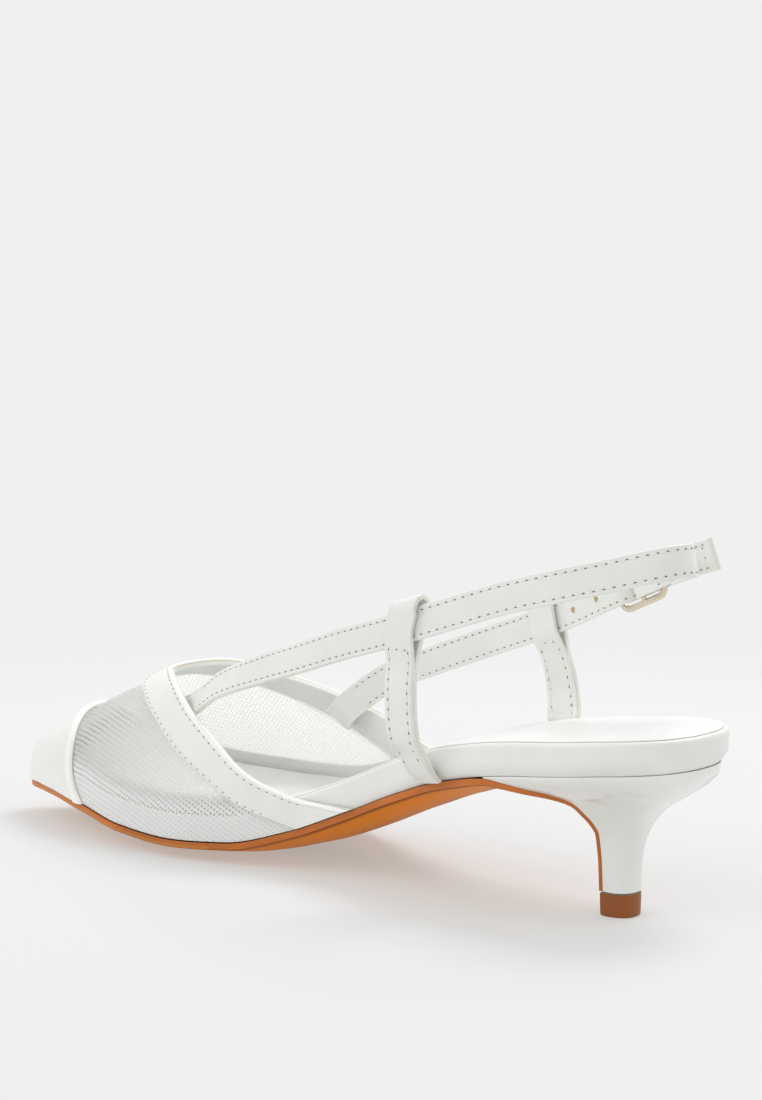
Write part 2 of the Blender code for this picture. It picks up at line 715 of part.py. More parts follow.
def make_heel():
    """The kitten heel block, from the top piece up to the footbed's seat."""
    rings = [heel_ring(ring) for ring in spread(0.0, 1.0, 18)]
    rim = rings[-1]
    centre = Vector((sum(p.x for p in rim) / len(rim), 0.0, 0.0))
    for scale in (0.75, 0.45, 0.15):
        ring = []
        for point in rim:
            x = centre.x + (point.x - centre.x) * scale
            y = point.y * scale
            ring.append(Vector((x, y, footbed_underside(x, y) - HEEL_CLEARANCE)))
        rings.append(ring)
    return add_object("heel", mesh_from_rings(rings), "patent", 50)


def make_top_piece():
    """The D-shaped top piece that the heel stands on, covering the tip and the tongue's end."""
    front = SHOE_LENGTH * BREAST.at("along", 1.0) - TONGUE_THICKNESS
    count = 12
    rings = []
    for height, inset in ((0.0, TOP_PIECE_TAPER), (TOP_PIECE_HEIGHT, 0.0)):
        start = front + inset
        length = SHOE_LENGTH - HEEL_TIP_INSET - inset - start
        half = HEEL_TIP_HALF * 1.02 - inset
        side = []
        for k in range(count):
            t = (1 - math.cos(math.pi * k / count)) / 2
            side.append((start + length * t, half * round_share(t)))
        ring = [Vector((x, y, height)) for x, y in side]
        ring.append(Vector((start + length, 0.0, height)))
        ring += [Vector((x, -y, height)) for x, y in reversed(side)]
        rings.append(ring)
    return add_object("top_piece", mesh_from_rings(rings), "top_piece")


class Frame:
    """A place on a strap with its width direction and its ply."""

    def __init__(self, place, width, ply=STRAP_THICKNESS):
        self.place = place
        self.width = width
        self.ply = ply


def smooth_frames(frames, step):
    """The given frames with more between them where they lie further apart than a step."""
    lengths = [0.0]
    for a, b in zip(frames, frames[1:]):
        lengths.append(lengths[-1] + (b.place - a.place).length)
    last = len(frames) - 1

    def tangent(i, value):
        before, after = max(i - 1, 0), min(i + 1, last)
        return (value(frames[after]) - value(frames[before])) / (lengths[after] - lengths[before])

    def curve(i, t, value):
        run = lengths[i + 1] - lengths[i]
        rise = 3 * t ** 2 - 2 * t ** 3
        return (value(frames[i]) * (1 - rise) + value(frames[i + 1]) * rise
                + tangent(i, value) * (run * t * (1 - t) ** 2)
                - tangent(i + 1, value) * (run * t ** 2 * (1 - t)))

    made = []
    for i in range(last):
        parts = max(1, round((lengths[i + 1] - lengths[i]) / step))
        for k in range(parts):
            made.append(Frame(curve(i, k / parts, lambda f: f.place), curve(i, k / parts, lambda f: f.width),
                              curve(i, k / parts, lambda f: f.ply)))
    return made + [frames[-1]]


def ribbon(frames, width):
    """A strap as one closed body with chamfered edges along its frames."""
    rings = []
    for i, frame in enumerate(frames):
        run = (frames[min(i + 1, len(frames) - 1)].place - frames[max(i - 1, 0)].place).normalized()
        across = (frame.width - run * frame.width.dot(run)).normalized()
        out = run.cross(across)
        chamfer = 0.3 * frame.ply
        half = width / 2
        thick = frame.ply / 2
        outline = ((half, thick - chamfer), (half - chamfer, thick), (chamfer - half, thick),
                   (-half, thick - chamfer), (-half, chamfer - thick), (chamfer - half, -thick),
                   (half - chamfer, -thick), (half, chamfer - thick))
        rings.append([frame.place + across * a + out * b for a, b in outline])
    return mesh_from_rings(rings)


def leaning_frame(table, row, after, ply=STRAP_THICKNESS):
    """A strap's frame from its table: upright across the strap but for its inward lean."""
    def place_of(where):
        return Vector((SHOE_LENGTH * table.at("along", where), SLING_REACH * table.at("reach", where),
                       SLING_HEIGHT * table.at("height", where)))
    place = place_of(row)
    run = (place_of(min(row + 0.2, after)) - place_of(max(row - 0.2, 0))).normalized()
    up = (Vector((0.0, 0.0, 1.0)) - run * run.z).normalized()
    inward = run.cross(up)
    if inward.dot(Vector((place.x - 0.80 * SHOE_LENGTH, place.y, 0.0))) > 0:
        inward.negate()
    lean = math.radians(table.at("lean", row))
    return Frame(place, up * math.cos(lean) + inward * math.sin(lean), ply)


def seat_frames(turn_front, turn_rear, places):
    """A strap's frames under the topline band, inside the upper."""
    depth = GAP + STRAP_SEAT_DEPTH + STRAP_THICKNESS / 2
    points = []
    for share, turn in ((places[0], turn_front), (places[1], turn_rear)):
        front = EDGES.at("band_front", turn)
        along = front + (EDGES.at("band_rear", turn) - front) * share
        points.append((upper_offset(along, turn, -depth), upper_normal(along, turn)))
    run = (points[1][0] - points[0][0]).normalized()
    made = []
    for place, normal in points:
        width = run.cross(normal)
        if width.z < 0:
            width.negate()
        made.append(Frame(place, width.normalized()))
    return made


def sling_frames():
    """The sling strap from its medial seat to the fold round the buckle's bar."""
    frames = seat_frames(*SEATS["sling"])
    frames += [leaning_frame(SLING, row, 14) for row in range(15)]
    return frames + fold_frames()


def buckle_strap_frames():
    """The buckle strap from its lateral seat through the buckle to its free tip."""
    frames = seat_frames(*SEATS["buckle"])
    frames += [leaning_frame(BUCKLE_STRAP, row, 8) for row in range(5)]
    place, run, up, out = buckle_axes()
    for ahead, off in THREADING:
        spot = place + run * (ahead * BUCKLE_LENGTH) + out * (off * STRAP_THICKNESS)
        frames.append(Frame(spot, up))
    return frames + [leaning_frame(BUCKLE_STRAP, 8, 8)]


def buckle_axes():
    """The buckle's centre, and its directions along the strap, up and outwards."""
    frame = leaning_frame(BUCKLE_STRAP, 6, 8)
    before = leaning_frame(BUCKLE_STRAP, 5, 8).place
    after = leaning_frame(BUCKLE_STRAP, 7, 8).place
    run = (after - before).normalized()
    up = (frame.width - run * frame.width.dot(run)).normalized()
    return frame.place, run, up, up.cross(run)


def fold_frames():
    """The sling strap's end, folded round the buckle's centre bar."""
    place, run, up, out = buckle_axes()
    ply = 0.55 * STRAP_THICKNESS
    radius = BUCKLE_DEPTH / 2 + GAP + ply / 2
    made = []
    for ahead, off in ((9.0, -1.8), (5.5, -1.35), (2.6, -1.1)):
        made.append(Frame(place + run * (ahead * radius) + out * (off * radius), up, ply * 1.25))
    for angle in (-90, -135, 180, 135, 90):
        turn = math.radians(angle)
        made.append(Frame(place + run * (radius * math.cos(turn)) + out * (radius * math.sin(turn)), up, ply))
    made.append(Frame(place + run * (1.3 * radius) + out * (0.85 * radius), up, ply))
    made.append(Frame(place + run * (2.4 * radius) + out * (0.30 * radius), up, ply))
    made.append(Frame(place + run * (3.7 * radius) + out * (-0.20 * radius), up, ply))
    return made


def prong_path():
    """The prong's centre line: round the rear of the buckle's bar, then forward over the front rail."""
    place, run, up, out = buckle_axes()
    radius = BUCKLE_DEPTH / 2 + GAP + PRONG_DIAMETER / 2
    tip = 0.5 * BUCKLE_LENGTH + 0.3 * BUCKLE_RAIL
    spots = [(radius * math.cos(math.radians(a)), radius * math.sin(math.radians(a)))
             for a in (-100, -70, -35, 0, 35, 65, 90)]
    spots += [(-tip * share, radius) for share in (0.2, 0.4, 0.6, 0.8, 0.94, 1.0)]
    return [place + run * ahead + out * off for ahead, off in spots], up


def tube(path, across, radii, sides=8):
    """A round wire along a path, with a radius for each of its points."""
    rings = []
    for i, place in enumerate(path):
        run = (path[min(i + 1, len(path) - 1)] - path[max(i - 1, 0)]).normalized()
        side = (across - run * across.dot(run)).normalized()
        out = run.cross(side)
        ring = []
        for k in range(sides):
            angle = 2 * math.pi * k / sides
            ring.append(place + side * (radii[i] * math.cos(angle)) + out * (radii[i] * math.sin(angle)))
        rings.append(ring)
    return mesh_from_rings(rings)


def make_prong():
    """The buckle's prong."""
    path, across = prong_path()
    radii = [PRONG_DIAMETER / 2] * len(path)
    radii[-1] = 0.3 * PRONG_DIAMETER
    return add_object("prong", tube(path, across, radii), "metal")


def cut_with(target, guide):
    """Cuts a hidden guide body out of a piece."""
    guide.hide_render = True
    guide.display_type = "WIRE"
    cut = target.modifiers.new(guide.name, "BOOLEAN")
    cut.operation = "DIFFERENCE"
    cut.solver = "EXACT"
    cut.object = guide


def make_sling_strap():
    """The strap from the band's medial side round the heel to the buckle."""
    strap = add_object("sling_strap", ribbon(smooth_frames(sling_frames(), SLING_SPAN), STRAP_WIDTH), "leather")
    place, run, up, out = buckle_axes()
    ends = [place - run * SLOT_FORWARD, place + run * SLOT_REARWARD]
    half = PRONG_SLOT / 2
    deep = 1.4 * STRAP_THICKNESS
    corners = ((half, deep), (-half, deep), (-half, -deep), (half, -deep))
    rings = [[end + up * a + out * b for a, b in corners] for end in ends]
    cut_with(strap, add_object("prong_slot_guide", mesh_from_rings(rings), "leather"))
    return strap


def make_buckle_strap():
    """The strap from the band's lateral side through the buckle, with its punched holes."""
    frames = smooth_frames(buckle_strap_frames(), BUCKLE_STRAP_SPAN)
    strap = add_object("buckle_strap", ribbon(frames, STRAP_WIDTH), "leather")
    path, across = prong_path()
    clearance = PRONG_DIAMETER / 2 + GAP
    cut_with(strap, add_object("prong_hole_guide", tube(path[6:], across, [clearance] * 7), "leather"))
    place, run, up, out = buckle_axes()
    crossing = place - run * (0.20 * BUCKLE_LENGTH)
    near = min(range(len(frames)), key=lambda i: (frames[i].place - crossing).length)
    travelled = 0.0
    hole = 1
    for i in range(near, 0, -1):
        travelled += (frames[i].place - frames[i - 1].place).length
        if hole < HOLE_COUNT and travelled >= hole * HOLE_PITCH:
            frame = frames[i - 1]
            ahead = (frames[i].place - frames[i - 2].place).normalized()
            side = ahead.cross(frame.width).normalized()
            ends = [frame.place + side * STRAP_THICKNESS, frame.place - side * STRAP_THICKNESS]
            punch = tube(ends, frame.width, [HOLE_DIAMETER / 2] * 2)
            cut_with(strap, add_object(f"hole_{hole}_guide", punch, "leather"))
            hole += 1
    return strap


class LegRow:
    """A row of a loop's leg: the middle between its plies, the way out, their paring and width."""

    def __init__(self, place, out, skive, width):
        self.place = place
        self.out = out
        self.skive = skive
        self.width = width

    def ply(self, outer):
        """The frame of the outer or the inner ply."""
        apart = (LOOP_PLY + GAP / 2) * self.skive / 2
        return Frame(self.place + self.out * (apart if outer else -apart), self.width, LOOP_PLY * self.skive)


def loop_foot(values):
    """The rows of a loop's leg from the sole's edge up the rim."""
    made = []
    for step in range(4):
        over = LOOP_FOOT.at("over", step)
        skive = LOOP_FOOT.at("skive", step)
        along = values["foot"] - LOOP_DRIFT * over
        outward = Vector((*edge_point(along, values["side"])[1], 0.0))
        width = Vector((abs(outward.y), -outward.x * values["side"], 0.0))
        stand = LOOP_CLEARANCE + (LOOP_PLY + GAP / 2) * skive
        stand += LOOP_BOW * LOOP_FOOT.at("stand", step) * values["stand"]
        face = rim_point(along, values["side"], over * RIM_HEIGHT)
        made.append(LegRow(face + outward * stand, outward, skive, width))
    return made


def make_loop(name):
    """A strap folded over the sling or buckle strap, both plies down outside the rim to the sole's edge."""
    values = LOOPS[name]
    side = values["side"]
    table = SLING if side < 0 else BUCKLE_STRAP
    prefix = "medial_" if side < 0 else "lateral_"
    last = len(table.keys) - 1
    row = next(r / 100 for r in range(100 * last) if table.at("along", r / 100) >= values["strap"])
    held = leaning_frame(table, row, last)
    run = (leaning_frame(table, row + 0.2, last).place - held.place).normalized()
    up = (held.width - run * held.width.dot(run)).normalized()
    out = up.cross(run)
    if out.y * side < 0:
        out.negate()

    def around(a, b):
        """A place round the strap, out from its middle and up it, with the loop's lean."""
        return held.place + out * a + up * b + run * (b * values["above" if b > 0 else "below"])

    leg = loop_foot(values)
    rim = leg[-1].place
    low = around(0.0, -STRAP_WIDTH / 2 - 1.6 * LOOP_PLY)
    for step in range(4):
        spot = rim.lerp(low, LOOP_LEG.at("climb", step))
        spot.x = rim.x + (low.x - rim.x) * LOOP_LEG.at(prefix + "along", step)
        spot += out * (LOOP_BOW * LOOP_LEG.at(prefix + "bow", step))
        leg.append(LegRow(spot, out, 1.0, Vector((1.0, 0.0, 0.0))))
    reach = STRAP_THICKNESS / 2 + EYE_CLEARANCE + LOOP_PLY / 2
    half = STRAP_WIDTH / 2
    eye = [(reach, -0.8 * half), (reach, 0.0), (reach, 0.8 * half)]
    eye += [(reach * math.cos(math.radians(a)), half + reach * math.sin(math.radians(a))) for a in (15, 45, 90)]
    eye += [(-a, b) for a, b in reversed(eye[:-1])]
    frames = [entry.ply(True) for entry in leg]
    frames += [Frame(around(a, b), run, LOOP_PLY) for a, b in eye]
    frames += [entry.ply(False) for entry in reversed(leg)]
    return add_object(name, ribbon(smooth_frames(frames, LOOP_SPAN), LOOP_WIDTH), "leather")


def rounded_rectangle(length, height, radius, count=4):
    """Points round a rectangle with round corners, centred on zero."""
    points = []
    for quarter, (sx, sy) in enumerate(((1, 1), (-1, 1), (-1, -1), (1, -1))):
        for k in range(count):
            angle = math.radians(90 * quarter + 90 * k / (count - 1))
            points.append((sx * (length / 2 - radius) + radius * math.cos(angle),
                           sy * (height / 2 - radius) + radius * math.sin(angle)))
    return points


def make_buckle():
    """The metal frame with its centre bar."""
    place, run, up, out = buckle_axes()
    inner_height = STRAP_WIDTH + 2 * BUCKLE_SIDE_CLEARANCE
    outer = rounded_rectangle(BUCKLE_LENGTH, inner_height + 2 * BUCKLE_RAIL, 2 * BUCKLE_RAIL)
    inner = rounded_rectangle(BUCKLE_LENGTH - 2 * BUCKLE_RAIL, inner_height, BUCKLE_RAIL)

    def placed(points, off):
        return [place + run * a + up * b + out * off for a, b in points]

    half = BUCKLE_DEPTH / 2
    body = mesh_from_grids([placed(outer, half), placed(inner, half)],
                           [placed(outer, -half), placed(inner, -half)], round_trip=True)
    buckle = add_object("buckle", body, "metal", 30)
    rings = []
    for end in (-1, 1):
        centre = place + up * (end * (inner_height + BUCKLE_RAIL) / 2)
        rings.append([centre + run * (half * math.cos(a)) + out * (half * 0.9 * math.sin(a))
                      for a in spread(0.0, 2 * math.pi, 13)[:-1]])
    bar = add_object("bar_guide", mesh_from_rings(rings), "metal", 30)
    bar.hide_render = True
    bar.display_type = "WIRE"
    union = buckle.modifiers.new("centre_bar", "BOOLEAN")
    union.operation = "UNION"
    union.solver = "EXACT"
    union.object = bar
    return buckle


def clear_scene():
    """Removes what the file opened with."""
    for item in list(bpy.data.objects):
        bpy.data.objects.remove(item, do_unlink=True)


WORLD_SHIFT = Vector((-SHOE_LENGTH / 2, -(BALL_LATERAL + FEATHER_LEDGE - SLING_REACH - LOOP_BOW) / 2, 0.0))


def build():
    """Builds every sub-part."""
    clear_scene()
    make_vamp()
    make_toe_cap()
    make_topline_band()
    make_footbed()
    make_insole_sock()
    make_outsole()
    make_heel()
    make_top_piece()
    make_sling_strap()
    make_buckle_strap()
    for name in LOOPS:
        make_loop(name)
    make_buckle()
    make_prong()


build()
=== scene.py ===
"""Dresses a slingback sandal: see-through knit vamp, patent toe cap and heel, stitched straps and a buckle.

Places repeat the solids' own last: along is a share of the length from the toe, turn a share round the
upper from the medial to the lateral feather edge. Sizes are in metres.
"""
import bisect
import json
import logging
import math
from collections.abc import Callable, Mapping, Sequence
from dataclasses import dataclass, field
from enum import Enum
from functools import lru_cache

import bmesh
import bpy
from mathutils import Matrix, Vector

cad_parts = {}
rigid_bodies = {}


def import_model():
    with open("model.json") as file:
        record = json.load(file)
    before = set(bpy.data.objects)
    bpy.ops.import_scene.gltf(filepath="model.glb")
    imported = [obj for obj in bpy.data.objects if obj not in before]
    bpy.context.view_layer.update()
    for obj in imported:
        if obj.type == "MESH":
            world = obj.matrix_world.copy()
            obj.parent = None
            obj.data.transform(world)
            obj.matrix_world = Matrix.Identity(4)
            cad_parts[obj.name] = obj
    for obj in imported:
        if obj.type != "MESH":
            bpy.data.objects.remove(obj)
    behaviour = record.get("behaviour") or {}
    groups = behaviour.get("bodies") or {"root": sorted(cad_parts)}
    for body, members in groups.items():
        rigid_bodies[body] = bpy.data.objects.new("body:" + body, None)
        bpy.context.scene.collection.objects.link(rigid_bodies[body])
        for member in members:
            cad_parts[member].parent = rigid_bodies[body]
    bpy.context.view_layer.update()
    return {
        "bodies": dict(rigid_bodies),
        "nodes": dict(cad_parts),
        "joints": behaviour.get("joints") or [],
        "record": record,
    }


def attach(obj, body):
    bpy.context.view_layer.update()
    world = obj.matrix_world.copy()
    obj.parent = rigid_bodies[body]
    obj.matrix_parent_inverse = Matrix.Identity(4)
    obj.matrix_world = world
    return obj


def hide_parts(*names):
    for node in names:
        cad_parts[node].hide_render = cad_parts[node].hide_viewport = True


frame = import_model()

LOG = logging.getLogger("sandal")
NOISE_ROUGHNESS = 0.55


def spread(first: float, last: float, count: int) -> list[float]:
    """Evenly spaced numbers from the first to the last."""
    return [first + (last - first) * i / (count - 1) for i in range(count)]


def smooth_step(low: float, high: float, value: float) -> float:
    """Rises smoothly from 0 at low to 1 at high."""
    t = min(max((value - low) / (high - low), 0.0), 1.0)
    return t * t * (3 - 2 * t)


def bend(along: float) -> float:
    """Turns a share of the length into one that runs slowly at the two round ends."""
    return math.acos(1 - 2 * min(max(along, 0.0), 1.0)) / math.pi


def unbend(share: float) -> float:
    """The share of the length that bend turns into this one."""
    return (1 - math.cos(math.pi * share)) / 2


def gather(place: float) -> float:
    """Moves a place round the upper toward the nearer feather edge."""
    return place - 0.5 * math.sin(2 * math.pi * place) / (2 * math.pi)


def set_stops(ramp: bpy.types.ColorRamp, stops: Sequence[tuple[float, Sequence[float]]]) -> None:
    """Gives a colour ramp its places and their colours."""
    elements = ramp.elements
    while len(elements) < len(stops):
        elements.new(0.5)
    for element, (place, colour) in zip(elements, stops):
        element.position = place
        element.color = (*colour, 1.0)


class Table:
    """Rows of shares with named columns, read anywhere between its rows through a smooth curve."""

    def __init__(self, columns: Sequence[str], *rows: Sequence[float]) -> None:
        """Keeps the rows.

        Args:
            columns: the names of the columns, the first one being the key.
            rows: a number for each column.
        """
        self.keys = [row[0] for row in rows]
        self.columns = {name: [row[i] for row in rows] for i, name in enumerate(columns)}
        self.slopes = {name: self.column_slopes(self.columns[name]) for name in columns}

    def column_slopes(self, values: Sequence[float]) -> list[float]:
        """Slopes at the rows that keep the curve from overshooting them.

        Args:
            values: a column's numbers.

        Returns:
            One slope for each row.
        """
        steps = [b - a for a, b in zip(self.keys, self.keys[1:])]
        grades = [(b - a) / step for a, b, step in zip(values, values[1:], steps)]
        slopes = [grades[0]]
        for k in range(1, len(grades)):
            before, after = grades[k - 1], grades[k]
            if before * after <= 0:
                slopes.append(0.0)
            else:
                first = 2 * steps[k] + steps[k - 1]
                second = steps[k] + 2 * steps[k - 1]
                slopes.append((first + second) / (first / before + second / after))
        slopes.append(grades[-1])
        return slopes

    def at(self, name: str, where: float) -> float:
        """The value of a column at a place.

        Args:
            name: the column.
            where: the key's value.

        Returns:
            The number on the smooth curve.
        """
        keys = self.keys
        where = min(max(where, keys[0]), keys[-1])
        i = min(bisect.bisect_right(keys, where) - 1, len(keys) - 2)
        step = keys[i + 1] - keys[i]
        t = (where - keys[i]) / step
        rise = 3 * t ** 2 - 2 * t ** 3
        values = self.columns[name]
        slopes = self.slopes[name]
        return (values[i] * (1 - rise) + values[i + 1] * rise
                + step * (slopes[i] * t * (1 - t) ** 2 - slopes[i + 1] * t ** 2 * (1 - t)))


def last_table(columns: Sequence[str], *rows: Sequence[float]) -> Table:
    """A table keyed by a share of the length so that both ends come out round."""
    return Table(columns, *[(bend(row[0]), *row[1:]) for row in rows])


# Feather edge: half widths as shares of the ball's, spring and rise of the edge, crown of the
# bottom as a share of the tread's, lean of the rim, ledge of the outsole from waist (0) to tread (1)
FEATHER = last_table(
    ("along", "medial", "lateral", "spring", "rise", "crown", "lean", "ledge"),
    (0.000, 0.000, 0.000, 0.98, 0.000, 0.00, 0.00, 1.0),
    (0.020, 0.235, 0.220, 1.00, 0.000, 0.30, 0.00, 1.0),
    (0.040, 0.320, 0.305, 1.01, 0.000, 0.45, 0.00, 1.0),
    (0.078, 0.490, 0.470, 1.01, 0.000, 0.55, 0.00, 1.0),
    (0.155, 0.780, 0.720, 0.76, 0.000, 0.80, 0.00, 1.0),
    (0.235, 0.955, 0.890, 0.22, 0.000, 0.97, 0.00, 1.0),
    (0.313, 1.000, 1.000, 0.00, 0.000, 1.00, 0.00, 1.0),
    (0.392, 0.860, 0.995, 0.00, 0.020, 0.90, 0.00, 1.0),
    (0.470, 0.685, 0.885, 0.00, 0.150, 1.00, 0.00, 0.8),
    (0.548, 0.625, 0.725, 0.00, 0.350, 1.10, 0.10, 0.3),
    (0.625, 0.680, 0.600, 0.00, 0.565, 1.10, 0.45, 0.0),
    (0.703, 0.810, 0.545, 0.00, 0.745, 0.95, 0.70, 0.0),
    (0.785, 0.900, 0.560, 0.00, 0.855, 0.35, 0.70, 0.0),
    (0.862, 0.950, 0.595, 0.00, 0.915, 0.05, 0.70, 0.0),
    (0.930, 0.880, 0.555, 0.00, 0.965, 0.00, 0.80, 0.0),
    (0.970, 0.690, 0.434, 0.00, 0.985, 0.00, 0.85, 0.0),
    (1.000, 0.000, 0.000, 0.00, 1.000, 0.00, 0.90, 0.0),
)

# Ridge of the upper: its height over the feather edge and how lean the sides are
RIDGE = last_table(
    ("along", "height", "slim"),
    (0.0000, 0.000, 0.00),
    (0.0040, 0.130, 0.00),
    (0.0145, 0.200, 0.00),
    (0.0330, 0.250, 0.00),
    (0.0620, 0.322, 0.02),
    (0.0970, 0.412, 0.04),
    (0.1440, 0.530, 0.06),
    (0.1850, 0.628, 0.07),
    (0.2230, 0.728, 0.08),
    (0.2700, 0.815, 0.08),
    (0.3300, 0.895, 0.08),
    (0.4120, 0.985, 0.06),
    (0.5000, 1.035, 0.03),
    (1.0000, 1.070, 0.00),
)

# Edges of the parts of the upper, as shares of the length, for each turn round it
EDGES = Table(
    ("turn", "cap", "band_front", "band_rear"),
    (0.00, 0.158, 0.487, 0.568),
    (0.05, 0.138, 0.421, 0.484),
    (0.10, 0.127, 0.371, 0.427),
    (0.20, 0.114, 0.289, 0.354),
    (0.30, 0.103, 0.231, 0.291),
    (0.40, 0.096, 0.198, 0.246),
    (0.46, 0.095, 0.192, 0.228),
    (0.52, 0.096, 0.198, 0.235),
    (0.60, 0.100, 0.222, 0.272),
    (0.70, 0.108, 0.273, 0.326),
    (0.80, 0.118, 0.353, 0.411),
    (0.90, 0.132, 0.447, 0.508),
    (1.00, 0.160, 0.543, 0.608),
)

# Heel breast from the seat down to the tip: back of the outsole's tongue
BREAST = Table(
    ("step", "along", "level", "half"),
    (0.000, 0.7530, 1.000, 1.000),
    (0.070, 0.7676, 1.010, 0.990),
    (0.170, 0.7883, 0.990, 0.965),
    (0.280, 0.8112, 0.955, 0.900),
    (0.420, 0.8401, 0.900, 0.735),
    (0.510, 0.8551, 0.813, 0.500),
    (0.575, 0.8634, 0.716, 0.385),
    (0.643, 0.8714, 0.619, 0.310),
    (0.696, 0.8763, 0.533, 0.275),
    (0.761, 0.8780, 0.419, 0.262),
    (0.844, 0.8796, 0.273, 0.255),
    (1.000, 0.8808, 0.000, 0.248),
)

# Rings of the heel block from the tip up
HEEL = Table(
    ("ring", "breast", "back", "climb"),
    (0.00, 1.000, 0.000, 0.000),
    (0.12, 0.860, 0.000, 0.157),
    (0.24, 0.760, 0.040, 0.345),
    (0.32, 0.700, 0.095, 0.440),
    (0.40, 0.645, 0.165, 0.520),
    (0.49, 0.580, 0.285, 0.617),
    (0.60, 0.510, 0.505, 0.716),
    (0.72, 0.420, 0.720, 0.813),
    (0.84, 0.270, 0.870, 0.900),
    (0.93, 0.150, 0.965, 0.955),
    (1.00, 0.060, 1.000, 1.000),
)

# Sling strap behind its seat under the band: half of its reach, height and inward lean in degrees
SLING = Table(
    ("row", "along", "reach", "height", "lean"),
    (0, 0.3612, -0.526, 0.516, 30.0),
    (1, 0.4380, -0.674, 0.585, 21.0),
    (2, 0.5102, -0.804, 0.643, 13.0),
    (3, 0.5774, -0.900, 0.699, 7.0),
    (4, 0.6542, -0.996, 0.756, 3.0),
    (5, 0.7393, -1.000, 0.825, 3.0),
    (6, 0.7991, -0.922, 0.875, 5.0),
    (7, 0.8555, -0.815, 0.913, 7.0),
    (8, 0.9066, -0.648, 0.945, 9.0),
    (9, 0.9460, -0.410, 0.972, 10.0),
    (10, 0.9670, -0.200, 0.985, 10.0),
    (11, 0.9725, -0.020, 0.986, 10.0),
    (12, 0.9660, 0.160, 0.980, 10.0),
    (13, 0.9440, 0.365, 0.964, 9.0),
    (14, 0.9114, 0.570, 0.938, 7.0),
)

# Buckle strap behind its seat under the band, to its free tip
BUCKLE_STRAP = Table(
    ("row", "along", "reach", "height", "lean"),
    (0, 0.4707, 1.130, 0.506, 20.0),
    (1, 0.5255, 1.144, 0.562, 12.0),
    (2, 0.6093, 1.115, 0.640, 6.0),
    (3, 0.6924, 1.041, 0.715, 3.0),
    (4, 0.7483, 0.993, 0.772, 3.0),
    (5, 0.7987, 0.935, 0.821, 4.0),
    (6, 0.8450, 0.890, 0.879, 5.0),
    (7, 0.8900, 0.815, 0.921, 6.0),
    (8, 0.9557, 0.700, 0.982, 7.0),
)

# How the buckle strap passes through the buckle: ahead as shares of its length, out of its ply
THREADING = ((-0.95, -0.70), (-0.50, -1.25), (-0.38, -1.20), (-0.27, 0.05), (-0.15, 1.55), (0.03, 2.25),
             (0.24, 2.15), (0.47, 1.50), (0.75, 1.00))

# A loop's leg between the rim (0) and the strap (1), and its foot on the rim
LOOP_LEG = Table(
    ("row", "climb", "medial_along", "medial_bow", "lateral_along", "lateral_bow"),
    (0, 0.13, 0.75, 0.48, 0.23, 0.43),
    (1, 0.38, 0.93, 0.62, 0.56, 0.78),
    (2, 0.68, 1.00, 0.50, 0.80, 0.62),
    (3, 0.90, 1.00, 0.22, 0.94, 0.25),
)
LOOP_FOOT = Table(
    ("row", "over", "skive", "stand"),
    (0, 0.02, 0.60, 0.00),
    (1, 0.30, 0.75, 0.10),
    (2, 0.62, 0.95, 0.33),
    (3, 1.00, 1.00, 0.65),
)


# Cross-sections: share between the two edges, distance from the top face, share of the binding's rise
# and the finish's number
CAP_BINDING = (
    (0.936, -0.00010, 0.0, 0), (0.942, -0.00012, 0.0, 3), (0.946, 0.0001, 0.0, 1), (0.953, 0.0, 0.8, 1),
    (0.965, 0.0, 1.0, 1), (0.980, 0.0, 0.9, 1), (0.992, 0.0, 0.4, 1), (0.998, -0.0004, 0.0, 1),
)
# The same for the band, without a rise; the rows of its inner edge are distances from the lining
BAND_FRONT = (
    (0.003, -0.00090, 0), (0.015, -0.00055, 0), (0.040, -0.00038, 0), (0.075, -0.00032, 0),
    (0.090, -0.00040, 0), (0.105, -0.00032, 0),
)
BAND_MIDDLE = -0.00024
BAND_REAR = (
    (0.790, -0.00022, 0), (0.815, -0.00026, 0), (0.830, -0.00034, 0), (0.845, -0.00030, 1),
    (0.860, -0.00006, 1), (0.890, 0.00006, 1), (0.940, 0.0, 1), (0.980, -0.0002, 1), (0.995, -0.0005, 1),
    (1.000, -0.0008, 2), (1.000, -0.0012, 3),
)
BAND_INNER = ((0.998, 0.0006, 3), (0.992, 0.0002, 3), (0.978, 0.0, 3))
# Stitch rows of the band: share between its edges and distance from its top face
BAND_ROWS = ((0.09, -0.00040), (0.83, -0.00034))

# Lining strip: heights over the feather edge with distances out of the last
LINING_PROFILE = ((0.0072, -0.00005), (0.0100, -0.00005), (0.0126, -0.00005), (0.0130, -0.0003),
                  (0.0126, -0.00052), (0.0072, -0.00052))

# Rim: shares of its height up its wall, then angles round its lip
RIM_WALL = (0.0, 0.10, 0.20, 0.32, 0.48, 0.66, 0.80)
RIM_LIP = (0.0, 0.4, 0.8, 1.2, 1.57)

# Sock: distances inside its edge with heights over the rim
SOCK_EDGE = ((0.0, -0.0003), (0.0, 0.0001), (0.00005, 0.00026), (0.0002, 0.0004), (0.0006, 0.0005),
             (0.0014, 0.00052), (0.0030, 0.00052))

# Outsole's edge: share across, share through and the finish's number
SOLE_RING = ((1.0, 0.10, 1), (1.0, 0.30, 1), (1.0, 0.55, 1), (1.0, 0.76, 2), (0.998, 0.88, 2), (0.992, 0.96, 2))

# Top piece: heights, insets and the finish's number; finish 1 at the top is painted shade under the heel
TIP_LEVELS = ((0.0, 0.0006, 0), (0.00015, 0.0003, 0), (0.0005, 0.00012, 0), (0.0020, 0.00006, 0),
              (0.0040, 0.00002, 0), (0.0060, 0.0, 0), (0.0063, 0.00012, 1), (0.0065, 0.0005, 1))

